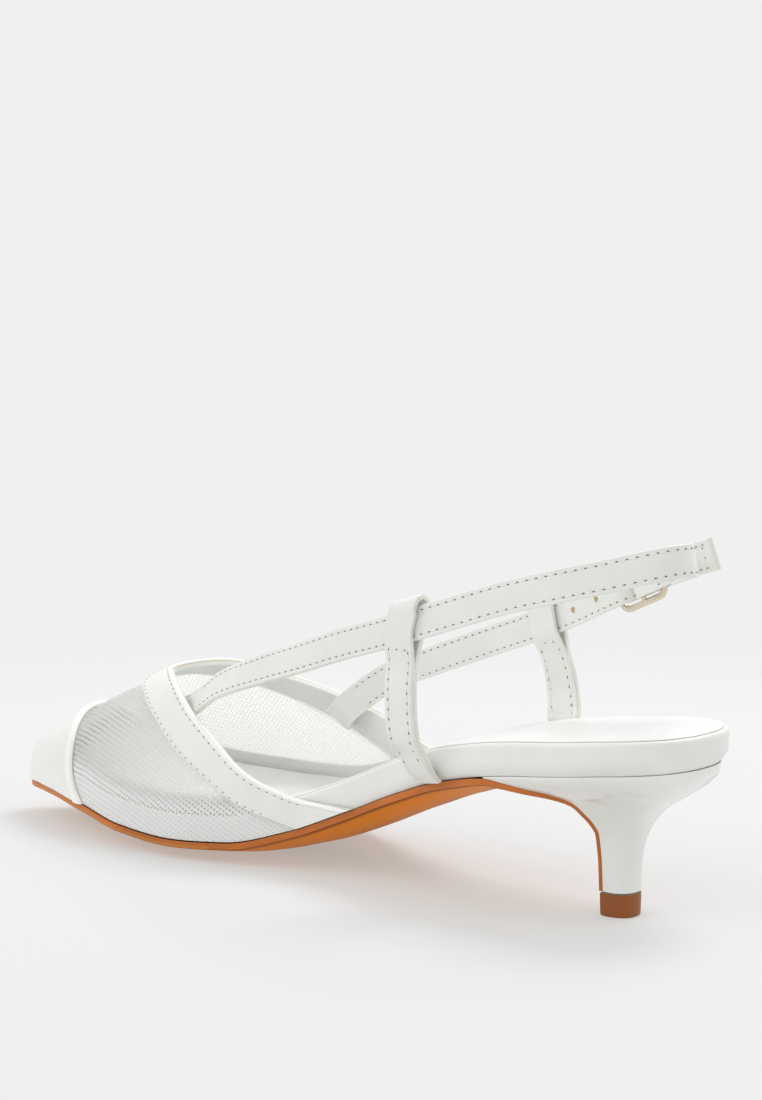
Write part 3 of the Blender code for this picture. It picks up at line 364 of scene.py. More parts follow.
# Sling strap's fold round the buckle's bar: places along and out as shares of its radius, and its ply
FOLD_LEAD = ((9.0, -1.8, 1.25), (5.5, -1.35, 1.25), (2.6, -1.1, 1.25))
FOLD_TURNS = (-90, -112, -135, -158, 180, 158, 135, 112, 90)
FOLD_TAIL = ((1.3, 0.85, 1.0), (2.4, 0.30, 1.0), (3.7, -0.20, 1.0))


@dataclass(frozen=True)
class Last:
    """The shape inside the shoe, and everything that is measured from it."""

    length: float = 0.2409
    ball_medial: float = 0.0243
    ball_lateral: float = 0.0386
    toe_spring: float = 0.0055
    heel_rise: float = 0.0370
    instep_height: float = 0.0560
    rim_overhang: float = 0.0026
    tread_crown: float = 0.0042
    ridge_shift: float = 0.0010
    rim_height: float = 0.0090
    rim_clearance: float = 0.0005
    gap: float = 0.0003
    outsole: float = 0.0020
    tread_flat: float = 0.0008
    feather_ledge: float = 0.0012
    sling_reach: float = 0.0270
    sling_height: float = 0.0970
    loop_bow: float = 0.0040

    @property
    def shift(self) -> Vector:
        """From the toe tip's frame to the row's frame."""
        across = self.ball_lateral + self.feather_ledge - self.sling_reach - self.loop_bow
        return Vector((-self.length / 2, -across / 2, 0.0))

    @lru_cache(maxsize=200000)
    def feather_height(self, along: float) -> float:
        """Height of the feather edge above the floor."""
        place = bend(along)
        tread = self.gap + self.outsole + self.tread_crown - self.tread_flat
        return (tread + self.toe_spring * FEATHER.at("spring", place)
                + self.heel_rise * FEATHER.at("rise", place))

    @lru_cache(maxsize=200000)
    def half_width(self, along: float, side: int) -> float:
        """Half width of the feather edge on the medial (-1) or the lateral (+1) side."""
        if side < 0:
            return self.ball_medial * FEATHER.at("medial", bend(along))
        return self.ball_lateral * FEATHER.at("lateral", bend(along))

    @lru_cache(maxsize=200000)
    def edge_point(self, along: float, side: int, out: float = 0.0) -> tuple[Vector, Vector]:
        """A point of the feather edge's plan and its outward direction.

        Args:
            along: share of the length.
            side: -1 medial, 1 lateral.
            out: distance that the point is moved outwards.

        Returns:
            The point and the direction, both in plan.
        """
        share = bend(along)
        before = unbend(max(share - 0.004, 0.0))
        after = unbend(min(share + 0.004, 1.0))
        run = Vector((self.length * (after - before),
                      side * (self.half_width(after, side) - self.half_width(before, side))))
        if along <= 0.0:
            outward = Vector((-1.0, 0.0))
        elif along >= 1.0:
            outward = Vector((1.0, 0.0))
        else:
            outward = Vector((-run.y * side, run.x * side)).normalized()
        return Vector((self.length * along, side * self.half_width(along, side))) + out * outward, outward

    def bottom_drop(self, along: float, across: float) -> float:
        """How far the bottom lies under the feather edge, at a place across from -1 to 1."""
        return self.tread_crown * FEATHER.at("crown", bend(along)) * (1 - across ** 2)

    @lru_cache(maxsize=200000)
    def upper_point(self, along: float, turn: float) -> Vector:
        """A point of the last's upper surface."""
        share = bend(along)
        angle = math.pi * turn
        height = self.instep_height * RIDGE.at("height", share)
        medial = self.half_width(along, -1)
        lateral = self.half_width(along, 1)
        ridge = (lateral - medial) / 2 + self.ridge_shift * min(1.0, share * 5)
        side = -1 if turn < 0.5 else 1
        reach = ridge + medial if side < 0 else lateral - ridge
        slim = 1 - RIDGE.at("slim", share) * math.sin(angle) ** 2
        y = ridge + side * reach * abs(math.cos(angle)) * slim
        over = height * math.sin(angle)
        rolled = math.sin(math.pi / 2 * min(1.0, over / (0.45 * self.rim_height)))
        lean = self.rim_overhang * FEATHER.at("lean", share) * rolled
        outward = self.edge_point(along, side)[1]
        return Vector((self.length * along + lean * outward.x, y + lean * outward.y * abs(math.cos(angle)),
                       self.feather_height(along) + over))

    @lru_cache(maxsize=200000)
    def upper_normal(self, along: float, turn: float) -> Vector:
        """The outward direction of the last's upper surface."""
        if along < 1e-4:
            return Vector((-1.0, 0.0, 0.0))
        share = bend(along)
        fore = self.upper_point(unbend(max(share - 0.003, 1e-3)), turn)
        aft = self.upper_point(unbend(min(share + 0.003, 1.0)), turn)
        low = self.upper_point(along, max(turn - 0.003, 0.0))
        high = self.upper_point(along, min(turn + 0.003, 1.0))
        normal = (high - low).cross(aft - fore).normalized()
        if normal.dot(self.upper_point(along, turn) - Vector((self.length * along + 0.02, 0, 0))) < 0:
            normal.negate()
        return normal

    def upper_offset(self, along: float, turn: float, out: float) -> Vector:
        """A point outside the last's upper surface, never lower than the feather edge."""
        place = self.upper_point(along, turn) + self.upper_normal(along, turn) * out
        place.z = max(place.z, self.feather_height(along))
        return place

    def turn_at(self, along: float, side: int, over: float) -> float:
        """The turn round the upper at a height over the feather edge."""
        height = self.instep_height * RIDGE.at("height", bend(along))
        turn = math.asin(min(over / max(height, 1e-5), 1.0)) / math.pi
        return turn if side < 0 else 1 - turn

    def layer_tip(self, over: float) -> float:
        """Where along the shoe the last's toe begins at a height over the feather edge."""
        low, high = 0.0, 0.3
        for _ in range(30):
            middle = (low + high) / 2
            if self.instep_height * RIDGE.at("height", bend(middle)) < over:
                low = middle
            else:
                high = middle
        return high

    def rim_point(self, along: float, side: int, over: float, inset: float = 0.0) -> Vector:
        """A point of the footbed's side at a height over the feather edge."""
        top = self.upper_point(along, self.turn_at(along, side, over))
        outward = self.edge_point(along, side)[1]
        return top - Vector((*outward, 0.0)) * (self.rim_clearance + inset)

    def rim_side(self, share: float, side: int, over: float, inset: float = 0.0) -> Vector:
        """A point of the footbed's side in a level layer that starts at its own toe (0)."""
        start = bend(self.layer_tip(over))
        return self.rim_point(unbend(start + (1 - start) * share), side, over, inset)

    def bed_underside(self, x: float, y: float) -> float:
        """Height of the footbed's bottom over a place of the seat."""
        along = x / self.length
        half = self.half_width(along, -1 if y < 0 else 1)
        return self.feather_height(along) - self.bottom_drop(along, min(abs(y) / max(half, 1e-5), 1.0))


LAST = Last()


class Graph:
    """A material's node tree with short ways to add to it."""

    def __init__(self, name: str) -> None:
        """Makes the material and its main shader."""
        self.material = bpy.data.materials.new(name)
        self.material.use_nodes = True
        self.tree = self.material.node_tree
        self.shader = self.tree.nodes["Principled BSDF"]
        self.places = self.tree.nodes.new("ShaderNodeTexCoord").outputs

    def put(self, target: bpy.types.NodeSocket, value: object) -> None:
        """Gives a socket a value, or joins it to the socket that is given."""
        if isinstance(value, bpy.types.NodeSocket):
            self.tree.links.new(value, target)
        else:
            target.default_value = value

    def node(self, kind: str, values: Mapping[str | int, object] | None = None) -> bpy.types.Node:
        """Adds a node.

        Args:
            kind: its type.
            values: a number, a colour or a socket for each of its inputs that isn't left as it is.

        Returns:
            The node.
        """
        made = self.tree.nodes.new(f"ShaderNode{kind}")
        for key, value in (values or {}).items():
            self.put(made.inputs[key], value)
        return made

    def math(self, operation: str, *values: object) -> bpy.types.NodeSocket:
        """A sum of numbers or sockets."""
        node = self.node("Math", dict(enumerate(values)))
        node.operation = operation
        return node.outputs[0]

    def noise(self, scale: float, detail: float = 3.0) -> bpy.types.NodeSocket:
        """Noise over the object's own places."""
        values = {"Scale": scale, "Detail": detail, "Roughness": NOISE_ROUGHNESS,
                  "Vector": self.places["Object"]}
        return self.node("TexNoise", values).outputs["Fac"]

    def cells(self, scale: float) -> bpy.types.NodeSocket:
        """The distance to the edges of small cells, as in a leather's grain."""
        node = self.node("TexVoronoi", {"Scale": scale, "Vector": self.places["Object"]})
        node.feature = "DISTANCE_TO_EDGE"
        return node.outputs["Distance"]

    def rise(self, source: bpy.types.NodeSocket, low: float, high: float, start: float = 0.0
             ) -> bpy.types.NodeSocket:
        """A value that goes from a start below the low place to 1 above the high one."""
        values = {"Value": source, "From Min": low, "From Max": high, "To Min": start}
        return self.node("MapRange", values).outputs[0]

    def ramp(self, source: bpy.types.NodeSocket, *stops: tuple[float, tuple[float, float, float]]
             ) -> bpy.types.NodeSocket:
        """A colour that goes with a value.

        Args:
            source: the value.
            stops: places from 0 to 1 with their colours.

        Returns:
            The colour.
        """
        node = self.node("ValToRGB", {0: source})
        set_stops(node.color_ramp, stops)
        return node.outputs[0]

    def bump(self, height: bpy.types.NodeSocket, distance: float, strength: float = 1.0) -> None:
        """Adds relief under what the shader already has."""
        node = self.node("Bump", {"Distance": distance, "Strength": strength, "Height": height})
        before = self.shader.inputs["Normal"]
        if before.is_linked:
            self.put(node.inputs["Normal"], before.links[0].from_socket)
        self.put(before, node.outputs[0])

    def uv(self) -> tuple[bpy.types.NodeSocket, bpy.types.NodeSocket]:
        """The piece's own two surface coordinates."""
        node = self.node("SeparateXYZ", {0: self.places["UV"]})
        return node.outputs[0], node.outputs[1]


@dataclass(frozen=True)
class Finish:
    """A surface: its name, colour, roughness and gloss, with grain and clouding."""

    name: str
    colour: tuple[float, float, float]
    roughness: float
    coat: float = 0.0
    coat_roughness: float = 0.1
    grain: float = 0.0
    grain_scale: float = 2600.0
    cloud: float = 0.04
    metallic: float = 0.0
    sheen: float = 0.0
    specular: float = 0.5

    def build(self) -> bpy.types.Material:
        """The material, made once."""
        known = bpy.data.materials.get(self.name)
        if known:
            return known
        graph = Graph(self.name)
        for name, value in (("Roughness", self.roughness), ("Metallic", self.metallic),
                            ("Coat Weight", self.coat), ("Coat Roughness", self.coat_roughness),
                            ("Sheen Weight", self.sheen), ("Specular IOR Level", self.specular)):
            graph.put(graph.shader.inputs[name], value)
        self.paint(graph)
        self.relief(graph)
        return graph.material

    def paint(self, graph: Graph) -> None:
        """Gives the colour a faint clouding."""
        dark = tuple(c * (1 - self.cloud) for c in self.colour)
        light = tuple(min(1.0, c * (1 + self.cloud * 0.6)) for c in self.colour)
        clouds = graph.ramp(graph.noise(55.0, 4.0), (0.32, dark), (0.68, light))
        graph.put(graph.shader.inputs["Base Color"], clouds)

    def relief(self, graph: Graph) -> None:
        """Gives the surface its grain."""
        if self.grain > 0:
            graph.bump(graph.noise(self.grain_scale, 3.0), self.grain)
            graph.bump(graph.noise(420.0, 2.0), self.grain * 1.5, 0.5)


@dataclass(frozen=True)
class Grained(Finish):
    """Leather with a fine pebble of creases between small cells."""

    def relief(self, graph: Graph) -> None:
        """Adds creases to the grain."""
        edges = graph.math("MINIMUM", graph.cells(self.grain_scale), 0.16)
        graph.bump(edges, self.grain * 2.2, 0.75)
        graph.bump(graph.noise(700.0, 3.0), self.grain * 1.8, 0.6)


@dataclass(frozen=True)
class Knit(Finish):
    """Fine mesh with staggered open holes and yarn that lets light through; reads metres from its surface."""

    pitch_along: float = 0.00200
    pitch_round: float = 0.00150
    wobble: float = 0.00022
    opening: float = 0.42
    softness: float = 0.14
    open_backed: float = 0.12
    passes: float = 0.80
    passes_backed: float = 0.25
    rim_top: float = 0.0077
    lining_top: float = 0.0126
    yarn_height: float = 0.00020
    strand_pitch: float = 0.0003
    strand_height: float = 0.00002

    def relief(self, graph: Graph) -> None:
        """Opens the holes and raises the yarn between them; what lies behind the low edge shows less."""
        along, around = graph.uv()
        wobble = graph.math("MULTIPLY", graph.math("SUBTRACT", graph.noise(500.0, 1.0), 0.5), self.wobble)
        waves = []
        for place, pitch in ((along, self.pitch_along), (around, self.pitch_round)):
            turned = graph.math("MULTIPLY", graph.math("ADD", place, wobble), 2 * math.pi / pitch)
            waves.append(graph.math("COSINE", turned))
        hole = graph.math("MAXIMUM", graph.math("MULTIPLY", *waves), 0.0)
        edge = 1 - self.opening
        over = graph.node("Attribute")
        over.attribute_name = "over"
        over_rim = graph.rise(over.outputs["Fac"], self.rim_top - 0.0006, self.rim_top + 0.0004,
                              self.open_backed)
        over_lining = graph.rise(over.outputs["Fac"], self.lining_top - 0.0030, self.lining_top + 0.0010,
                                 self.passes_backed)
        opened = graph.math("MULTIPLY", graph.rise(hole, edge - self.softness, edge + self.softness), over_rim)
        through = graph.node("BsdfTranslucent", {"Color": (*self.colour, 1.0)})
        passed = graph.math("MULTIPLY", over_lining, self.passes)
        yarn = graph.node("MixShader", {0: passed, 1: graph.shader.outputs[0], 2: through.outputs[0]})
        clear = graph.node("BsdfTransparent")
        cover = graph.node("MixShader", {0: opened, 1: yarn.outputs[0], 2: clear.outputs[0]})
        graph.put(graph.tree.nodes["Material Output"].inputs["Surface"], cover.outputs[0])
        graph.bump(graph.math("SUBTRACT", 1.0, hole), self.yarn_height, 0.8)
        twist = graph.math("MULTIPLY", graph.math("ADD", along, around), 2 * math.pi / self.strand_pitch)
        graph.bump(graph.math("SINE", twist), self.strand_height, 0.5)


@dataclass(frozen=True)
class SoleTan(Finish):
    """Glossy sole leather, darker toward its brown stained edge and, as painted shade, in the middle of its
    tread; reads across from -1 to 1.
    """

    edge: tuple[float, float, float] = (0.20, 0.055, 0.012)
    # share of the colour kept in the middle of the tread: painted shade of the down-facing bottom
    middle: float = 0.62

    def paint(self, graph: Graph) -> None:
        """Fades the stained edge into the tan, and the tan into the painted shade of the middle."""
        across = graph.math("ABSOLUTE", graph.uv()[1])
        uneven = graph.math("MULTIPLY", graph.math("SUBTRACT", graph.noise(60.0), 0.5), 0.05)
        # the darker middle is painted shade where the bottom faces down
        shaded_middle = tuple(c * self.middle for c in self.colour)
        stain = graph.ramp(graph.math("ADD", across, uneven), (0.0, shaded_middle), (0.55, self.colour),
                           (0.90, self.colour), (0.985, self.edge))
        graph.put(graph.shader.inputs["Base Color"], stain)


@dataclass(frozen=True)
class FloorFinish(Finish):
    """A pale floor, partly lit from below, that fades into the backdrop away from the shoe."""

    glow: tuple[float, float, float] = (0.34, 0.36, 0.345)
    clear_from: float = 0.22
    clear_to: float = 0.46

    def paint(self, graph: Graph) -> None:
        """Sets the colour and the glow, and fades the floor's cover with the distance."""
        distance = graph.node("VectorMath", {0: graph.places["Object"]})
        distance.operation = "LENGTH"
        cover = graph.node("MapRange", {"Value": distance.outputs["Value"], "From Min": self.clear_from,
                                        "From Max": self.clear_to, "To Min": 1.0, "To Max": 0.0})
        cover.interpolation_type = "SMOOTHSTEP"
        for name, value in (("Base Color", (*self.colour, 1.0)), ("Specular IOR Level", 0.0),
                            ("Emission Color", (*self.glow, 1.0)), ("Emission Strength", 1.0),
                            ("Alpha", cover.outputs[0])):
            graph.put(graph.shader.inputs[name], value)


PATENT = Finish("white_patent", (0.80, 0.81, 0.775), 0.26, coat=0.8, coat_roughness=0.07, grain=0.00001,
                grain_scale=900.0)
LEATHER = Grained("white_leather", (0.79, 0.80, 0.765), 0.40, coat=0.15, coat_roughness=0.3, grain=0.000012,
                  grain_scale=1500.0)
LINING = Grained("lining_leather", (0.77, 0.785, 0.755), 0.48, grain=0.00001, grain_scale=1900.0, cloud=0.05)
SOCK = Finish("sock_leather", (0.83, 0.835, 0.82), 0.34, coat=0.25, coat_roughness=0.2, grain=0.000012,
              cloud=0.03)
BINDING = Grained("folded_binding", (0.86, 0.865, 0.84), 0.36, coat=0.3, coat_roughness=0.2, grain=0.00001,
                  grain_scale=1700.0)
RAW_EDGE = Finish("raw_edge", (0.66, 0.58, 0.42), 0.75, grain=0.00003, grain_scale=2200.0, cloud=0.12)
EDGE_PAINT = Finish("edge_paint", (0.78, 0.765, 0.70), 0.5, grain=0.00001, cloud=0.08)
KNIT = Knit("white_knit", (0.91, 0.91, 0.90), 0.6, sheen=0.3, cloud=0.01)
SOLE = SoleTan("sole_tan", (0.74, 0.215, 0.004), 0.42, grain=0.00001, cloud=0.06, specular=0.04)
SOLE_EDGE = Finish("sole_edge", (0.52, 0.150, 0.026), 0.42, coat=0.08, coat_roughness=0.25, grain=0.00004,
                   grain_scale=800.0, cloud=0.22, specular=0.25)
SOLE_LINE = Finish("sole_edge_line", (0.58, 0.205, 0.04), 0.45, cloud=0.15, specular=0.25)
TIP_BROWN = Finish("tip_brown", (0.29, 0.085, 0.016), 0.36, coat=0.12, coat_roughness=0.2, grain=0.00003,
                   grain_scale=600.0, cloud=0.12, specular=0.3)
METAL = Finish("pale_metal", (0.70, 0.62, 0.50), 0.17, metallic=1.0, cloud=0.05)
THREAD = Finish("thread", (0.84, 0.83, 0.78), 0.6, grain=0.00004, grain_scale=3500.0)
# dark marks at the needle holes: painted shade
NEEDLE_HOLE_SHADE = Finish("needle_hole_shade", (0.20, 0.175, 0.135), 0.8, cloud=0.2)
# painted shade in the fold where the toe cap meets its binding
CREASE_SHADE = Finish("crease_shade", (0.62, 0.61, 0.57), 0.6, cloud=0.05)
# painted shade in seams and in the joint under the heel
SHADE = Finish("seam_shade", (0.33, 0.31, 0.27), 0.8, cloud=0.1)


class Slot(Enum):
    """The record's material slots."""

    MESH = "mesh"
    PATENT = "patent"
    LEATHER = "leather"
    SOCK = "sock"
    SOLE = "sole"
    TOP_PIECE = "top_piece"
    METAL = "metal"


@dataclass
class Piece:
    """One object of the scene, put together from mapped grids and small bodies."""

    name: str
    finishes: Sequence[Finish]
    slot: Slot
    body: bmesh.types.BMesh = field(default_factory=bmesh.new)

    def grid(self, rows: int, columns: int, place: Callable[[float, float], Vector],
             finish: Callable[[float, float], int] | int = 0,
             uv: Callable[[float, float], tuple[float, float]] | None = None) -> None:
        """Adds a grid whose points go where a function says.

        Args:
            rows: spans in the first direction.
            columns: spans in the second direction.
            place: the point for two shares from 0 to 1.
            finish: the finish's number, or a function of the two shares.
            uv: the surface coordinates for two shares; the shares themselves if left out.
        """
        made = bmesh.ops.create_grid(self.body, x_segments=rows, y_segments=columns, size=0.5)["verts"]
        layer = self.body.loops.layers.uv.verify()
        shares = {v: (v.co.x + 0.5, v.co.y + 0.5) for v in made}
        coordinates = {v: (uv(*s) if uv else s) for v, s in shares.items()}
        for face in {f for v in made for f in v.link_faces}:
            for loop in face.loops:
                loop[layer].uv = coordinates[loop.vert]
            if callable(finish):
                middle = [sum(shares[v][k] for v in face.verts) / len(face.verts) for k in (0, 1)]
                face.material_index = finish(*middle)
            else:
                face.material_index = finish
            face.smooth = True
        for vert, share in shares.items():
            vert.co = place(*share)
        bmesh.ops.remove_doubles(self.body, verts=made, dist=2e-6)

    def close(self) -> None:
        """Closes what is still open."""
        bmesh.ops.holes_fill(self.body, edges=[edge for edge in self.body.edges if edge.is_boundary])

    def done(self, replaces: Sequence[str] = (), sharp: float = 50.0) -> bpy.types.Object:
        """Links the object, lets it ride and hides the solids that it stands for.

        Args:
            replaces: the solids that it stands for.
            sharp: edges steeper than this many degrees stay sharp.

        Returns:
            The object.
        """
        bmesh.ops.dissolve_degenerate(self.body, dist=1e-7, edges=self.body.edges)
        bmesh.ops.recalc_face_normals(self.body, faces=self.body.faces)
        if self.body.calc_volume(signed=True) < 0:
            bmesh.ops.reverse_faces(self.body, faces=self.body.faces)
        bmesh.ops.translate(self.body, vec=LAST.shift, verts=self.body.verts)
        mesh = bpy.data.meshes.new(self.name)
        self.body.to_mesh(mesh)
        self.body.free()
        mesh.set_sharp_from_angle(angle=math.radians(sharp))
        made = bpy.data.objects.new(self.name, mesh)
        for finish in self.finishes:
            mesh.materials.append(finish.build())
        bpy.context.scene.collection.objects.link(made)
        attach(made, "root")
        if replaces:
            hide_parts(*replaces)
        LOG.info("%s: %d faces", self.name, len(mesh.polygons))
        return made


@dataclass
class Stitching:
    """Rows of thread with painted shade at their needle holes, collected in one piece."""

    piece: Piece
    pitch: float = 0.0027
    length: float = 0.0019
    width: float = 0.00042
    hole: float = 0.00020
    slit: float = 2.1

    def bead(self, body: bmesh.types.BMesh, axes: tuple[Vector, Vector, Vector],
             sizes: tuple[float, float, float], finish: int, segments: int) -> None:
        """Adds one rounded bead.

        Args:
            body: where it goes.
            axes: its middle, its long direction and the surface's way out.
            sizes: half its length, width and height.
            finish: its finish's number.
            segments: spans round it.
        """
        place, run, normal = axes
        turn = Matrix((run, normal.cross(run).normalized(), normal)).transposed().to_4x4()
        matrix = Matrix.Translation(place) @ turn @ Matrix.Diagonal((*sizes, 1.0))
        made = bmesh.ops.create_uvsphere(body, u_segments=segments, v_segments=segments - 2, radius=1.0,
                                         matrix=matrix)["verts"]
        for face in {f for v in made for f in v.link_faces}:
            face.material_index = finish
            face.smooth = True

    def row(self, points: Sequence[Vector], normals: Sequence[Vector]) -> None:
        """Sews along a path, in a mesh of its own that then joins the piece.

        Args:
            points: the path on the surface.
            normals: the surface's way out at each point.
        """
        body = bmesh.new()
        travelled = 0.0
        goal = self.pitch / 2
        for i in range(len(points) - 1):
            step = (points[i + 1] - points[i]).length
            while step > 0 and travelled + step >= goal:
                t = (goal - travelled) / step
                place = points[i].lerp(points[i + 1], t)
                normal = normals[i].lerp(normals[i + 1], t).normalized()
                run = (points[i + 1] - points[i]).normalized()
                run = (run - normal * run.dot(normal)).normalized()
                thread = (self.length / 2, self.width / 2, self.width * 0.42)
                self.bead(body, (place, run, normal), thread, 0, 8)
                # a dark bead where the needle went through: painted shade of the hole
                pierced = place + run * (self.pitch / 2)
                hole_shade = (self.hole * self.slit, self.hole, self.hole * 0.6)
                self.bead(body, (pierced, run, normal), hole_shade, 1, 6)
                goal += self.pitch
            travelled += step
        mesh = bpy.data.meshes.new("row")
        body.to_mesh(mesh)
        body.free()
        self.piece.body.from_mesh(mesh)
        bpy.data.meshes.remove(mesh)


@dataclass
class Frame:
    """A place on a strap with its width direction and its ply."""

    place: Vector
    width: Vector
    ply: float


def smooth_frames(frames: Sequence[Frame], step: float) -> list[Frame]:
    """The given frames with more between them where they lie further apart than a step.

    Args:
        frames: the strap's own frames.
        step: about how far apart the frames come out.

    Returns:
        All the frames in order.
    """
    lengths = [0.0]
    for a, b in zip(frames, frames[1:]):
        lengths.append(lengths[-1] + (b.place - a.place).length)
    last = len(frames) - 1

    def tangent(i: int, value: Callable[[Frame], Vector]) -> Vector:
        """The curve's direction at a frame."""
        before, after = max(i - 1, 0), min(i + 1, last)
        return (value(frames[after]) - value(frames[before])) / (lengths[after] - lengths[before])

    def curve(i: int, t: float, value: Callable[[Frame], Vector]) -> Vector:
        """A value between two frames."""
        run = lengths[i + 1] - lengths[i]
        rise = 3 * t ** 2 - 2 * t ** 3
        return (value(frames[i]) * (1 - rise) + value(frames[i + 1]) * rise
                + tangent(i, value) * (run * t * (1 - t) ** 2)
                - tangent(i + 1, value) * (run * t ** 2 * (1 - t)))

    made = []
    for i in range(last):
        parts = max(1, round((lengths[i + 1] - lengths[i]) / step))
        for k in range(parts):
            made.append(Frame(curve(i, k / parts, lambda f: f.place), curve(i, k / parts, lambda f: f.width),
                              curve(i, k / parts, lambda f: f.ply)))
    return made + [frames[-1]]


@dataclass
class Strap:
    """A flat strap of two plies with painted edges, along its frames."""

    name: str
    frames: list[Frame]
    width: float
    rounding: float = 0.00035
    groove: float = 0.00010
    stitch_inset: float = 0.00125

    def axes(self, i: int) -> tuple[Vector, Vector, Vector]:
        """The directions along, across and out at a frame."""
        last = len(self.frames) - 1
        run = (self.frames[min(i + 1, last)].place - self.frames[max(i - 1, 0)].place).normalized()
        width = self.frames[i].width
        across = (width - run * width.dot(run)).normalized()
        return run, across, run.cross(across)

    def outline(self, ply: float) -> list[tuple[float, float]]:
        """The cross-section, from one edge's middle round to it again.

        Args:
            ply: the strap's thickness there.

        Returns:
            Pairs of places across and out.
        """
        half = self.width / 2
        thick = ply / 2
        turn = min(self.rounding, thick * 0.8)
        sew = half - self.stitch_inset
        face = [(half - turn * (1 - math.cos(a)), thick - turn * (1 - math.sin(a)))
                for a in (0.0, math.pi / 6, math.pi / 3, math.pi / 2)]
        face += [(sew + 0.0004, thick), (sew, thick - 0.00007), (sew - 0.0004, thick),
                 (sew * 0.4, thick * 1.02)]
        upper = face + [(-a, b) for a, b in reversed(face)]
        middle = (half - self.groove, 0.0)
        ring = [middle, *upper, (-middle[0], 0.0), *[(-a, -b) for a, b in upper]]
        return ring

    def build(self, replaces: Sequence[str], cuts: Sequence[tuple[Vector, Vector, float]] = ()) -> None:
        """Makes the strap.

        Args:
            replaces: the solid that it stands for.
            cuts: punched holes, each a place, a direction and a radius.
        """
        piece = Piece(self.name, (LEATHER, EDGE_PAINT, LINING), Slot.LEATHER)
        rows = len(self.frames) - 1
        sections = [self.outline(frame.ply) for frame in self.frames]
        columns = len(sections[0])
        axes = [self.axes(i) for i in range(rows + 1)]
        travelled = [0.0]
        for a, b in zip(self.frames, self.frames[1:]):
            travelled.append(travelled[-1] + (b.place - a.place).length)

        def place(u: float, v: float) -> Vector:
            """A point of the strap's surface."""
            i = round(u * rows)
            a, b = sections[i][round(v * columns) % columns]
            return self.frames[i].place + axes[i][1] * a + axes[i][2] * b

        def uv(u: float, v: float) -> tuple[float, float]:
            """Metres along and round the strap."""
            return travelled[round(u * rows)], v * 2 * self.width

        def paint(u: float, v: float) -> int:
            """Painted edges between the two faces."""
            k = int(v * columns)
            quarter = columns // 2
            return 1 if k % quarter in (0, 1, quarter - 1, quarter - 2) else 0

        piece.grid(rows, columns, place, paint, uv)
        rim = [edge for edge in piece.body.edges if edge.is_boundary]
        bmesh.ops.contextual_create(piece.body, geom=rim)
        piece.close()
        made = piece.done(replaces)
        for number, (spot, out, radius) in enumerate(cuts, 1):
            self.punch(made, number, spot, out, radius)

    def punch(self, target: bpy.types.Object, number: int, spot: Vector, out: Vector, radius: float) -> None:
        """Cuts a round hole through the strap.

        Args:
            target: the strap's object.
            number: the hole's number.
            spot: its middle.
            out: its direction.
            radius: its radius.
        """
        body = bmesh.new()
        turn = out.to_track_quat("Z", "Y").to_matrix().to_4x4()
        bmesh.ops.create_cone(body, cap_ends=True, segments=20, radius1=radius, radius2=radius, depth=0.006,
                              matrix=Matrix.Translation(spot + LAST.shift) @ turn)
        mesh = bpy.data.meshes.new(f"{self.name}_punch_{number}")
        body.to_mesh(mesh)
        body.free()
        mesh.materials.append(RAW_EDGE.build())
        punch = bpy.data.objects.new(mesh.name, mesh)
        bpy.context.scene.collection.objects.link(punch)
        cut = target.modifiers.new("hole", "BOOLEAN")
        cut.operation = "DIFFERENCE"
        cut.solver = "EXACT"
        cut.material_mode = "TRANSFER"
        cut.object = punch
        dressed = target.evaluated_get(bpy.context.evaluated_depsgraph_get())
        mesh = bpy.data.meshes.new_from_object(dressed)
        target.modifiers.clear()
        target.data = mesh
        bpy.data.objects.remove(punch)

    def sew(self, stitching: Stitching, start: float, end: float, faces: Sequence[int] = (1, -1)) -> None:
        """Sews rows along the strap's edges.

        Args:
            stitching: where the stitches go.
            start: share of the length at which the rows start.
            end: share of the length at which they end.
            faces: the faces that show them, 1 out and -1 in.
        """
        last = len(self.frames) - 1
        chosen = range(round(start * last), round(end * last) + 1)
        for face in faces:
            for side in (1, -1):
                points, normals = [], []
                for i in chosen:
                    _, across, out = self.axes(i)
                    frame = self.frames[i]
                    points.append(frame.place + across * side * (self.width / 2 - self.stitch_inset)
                                  + out * face * (frame.ply / 2 - 0.00001))
                    normals.append(out * face)
                stitching.row(points, normals)

    def sew_across(self, stitching: Stitching, where: float, faces: Sequence[int] = (1, -1)) -> None:
        """Sews one row across the strap.

        Args:
            stitching: where the stitches go.
            where: share of the length.
            faces: the faces that show it.
        """
        i = round(where * (len(self.frames) - 1))
        _, across, out = self.axes(i)
        frame = self.frames[i]
        reach = self.width / 2 - self.stitch_inset
        for face in faces:
            middle = frame.place + out * face * (frame.ply / 2 - 0.00001)
            stitching.row([middle - across * reach, middle + across * reach], [out * face] * 2)


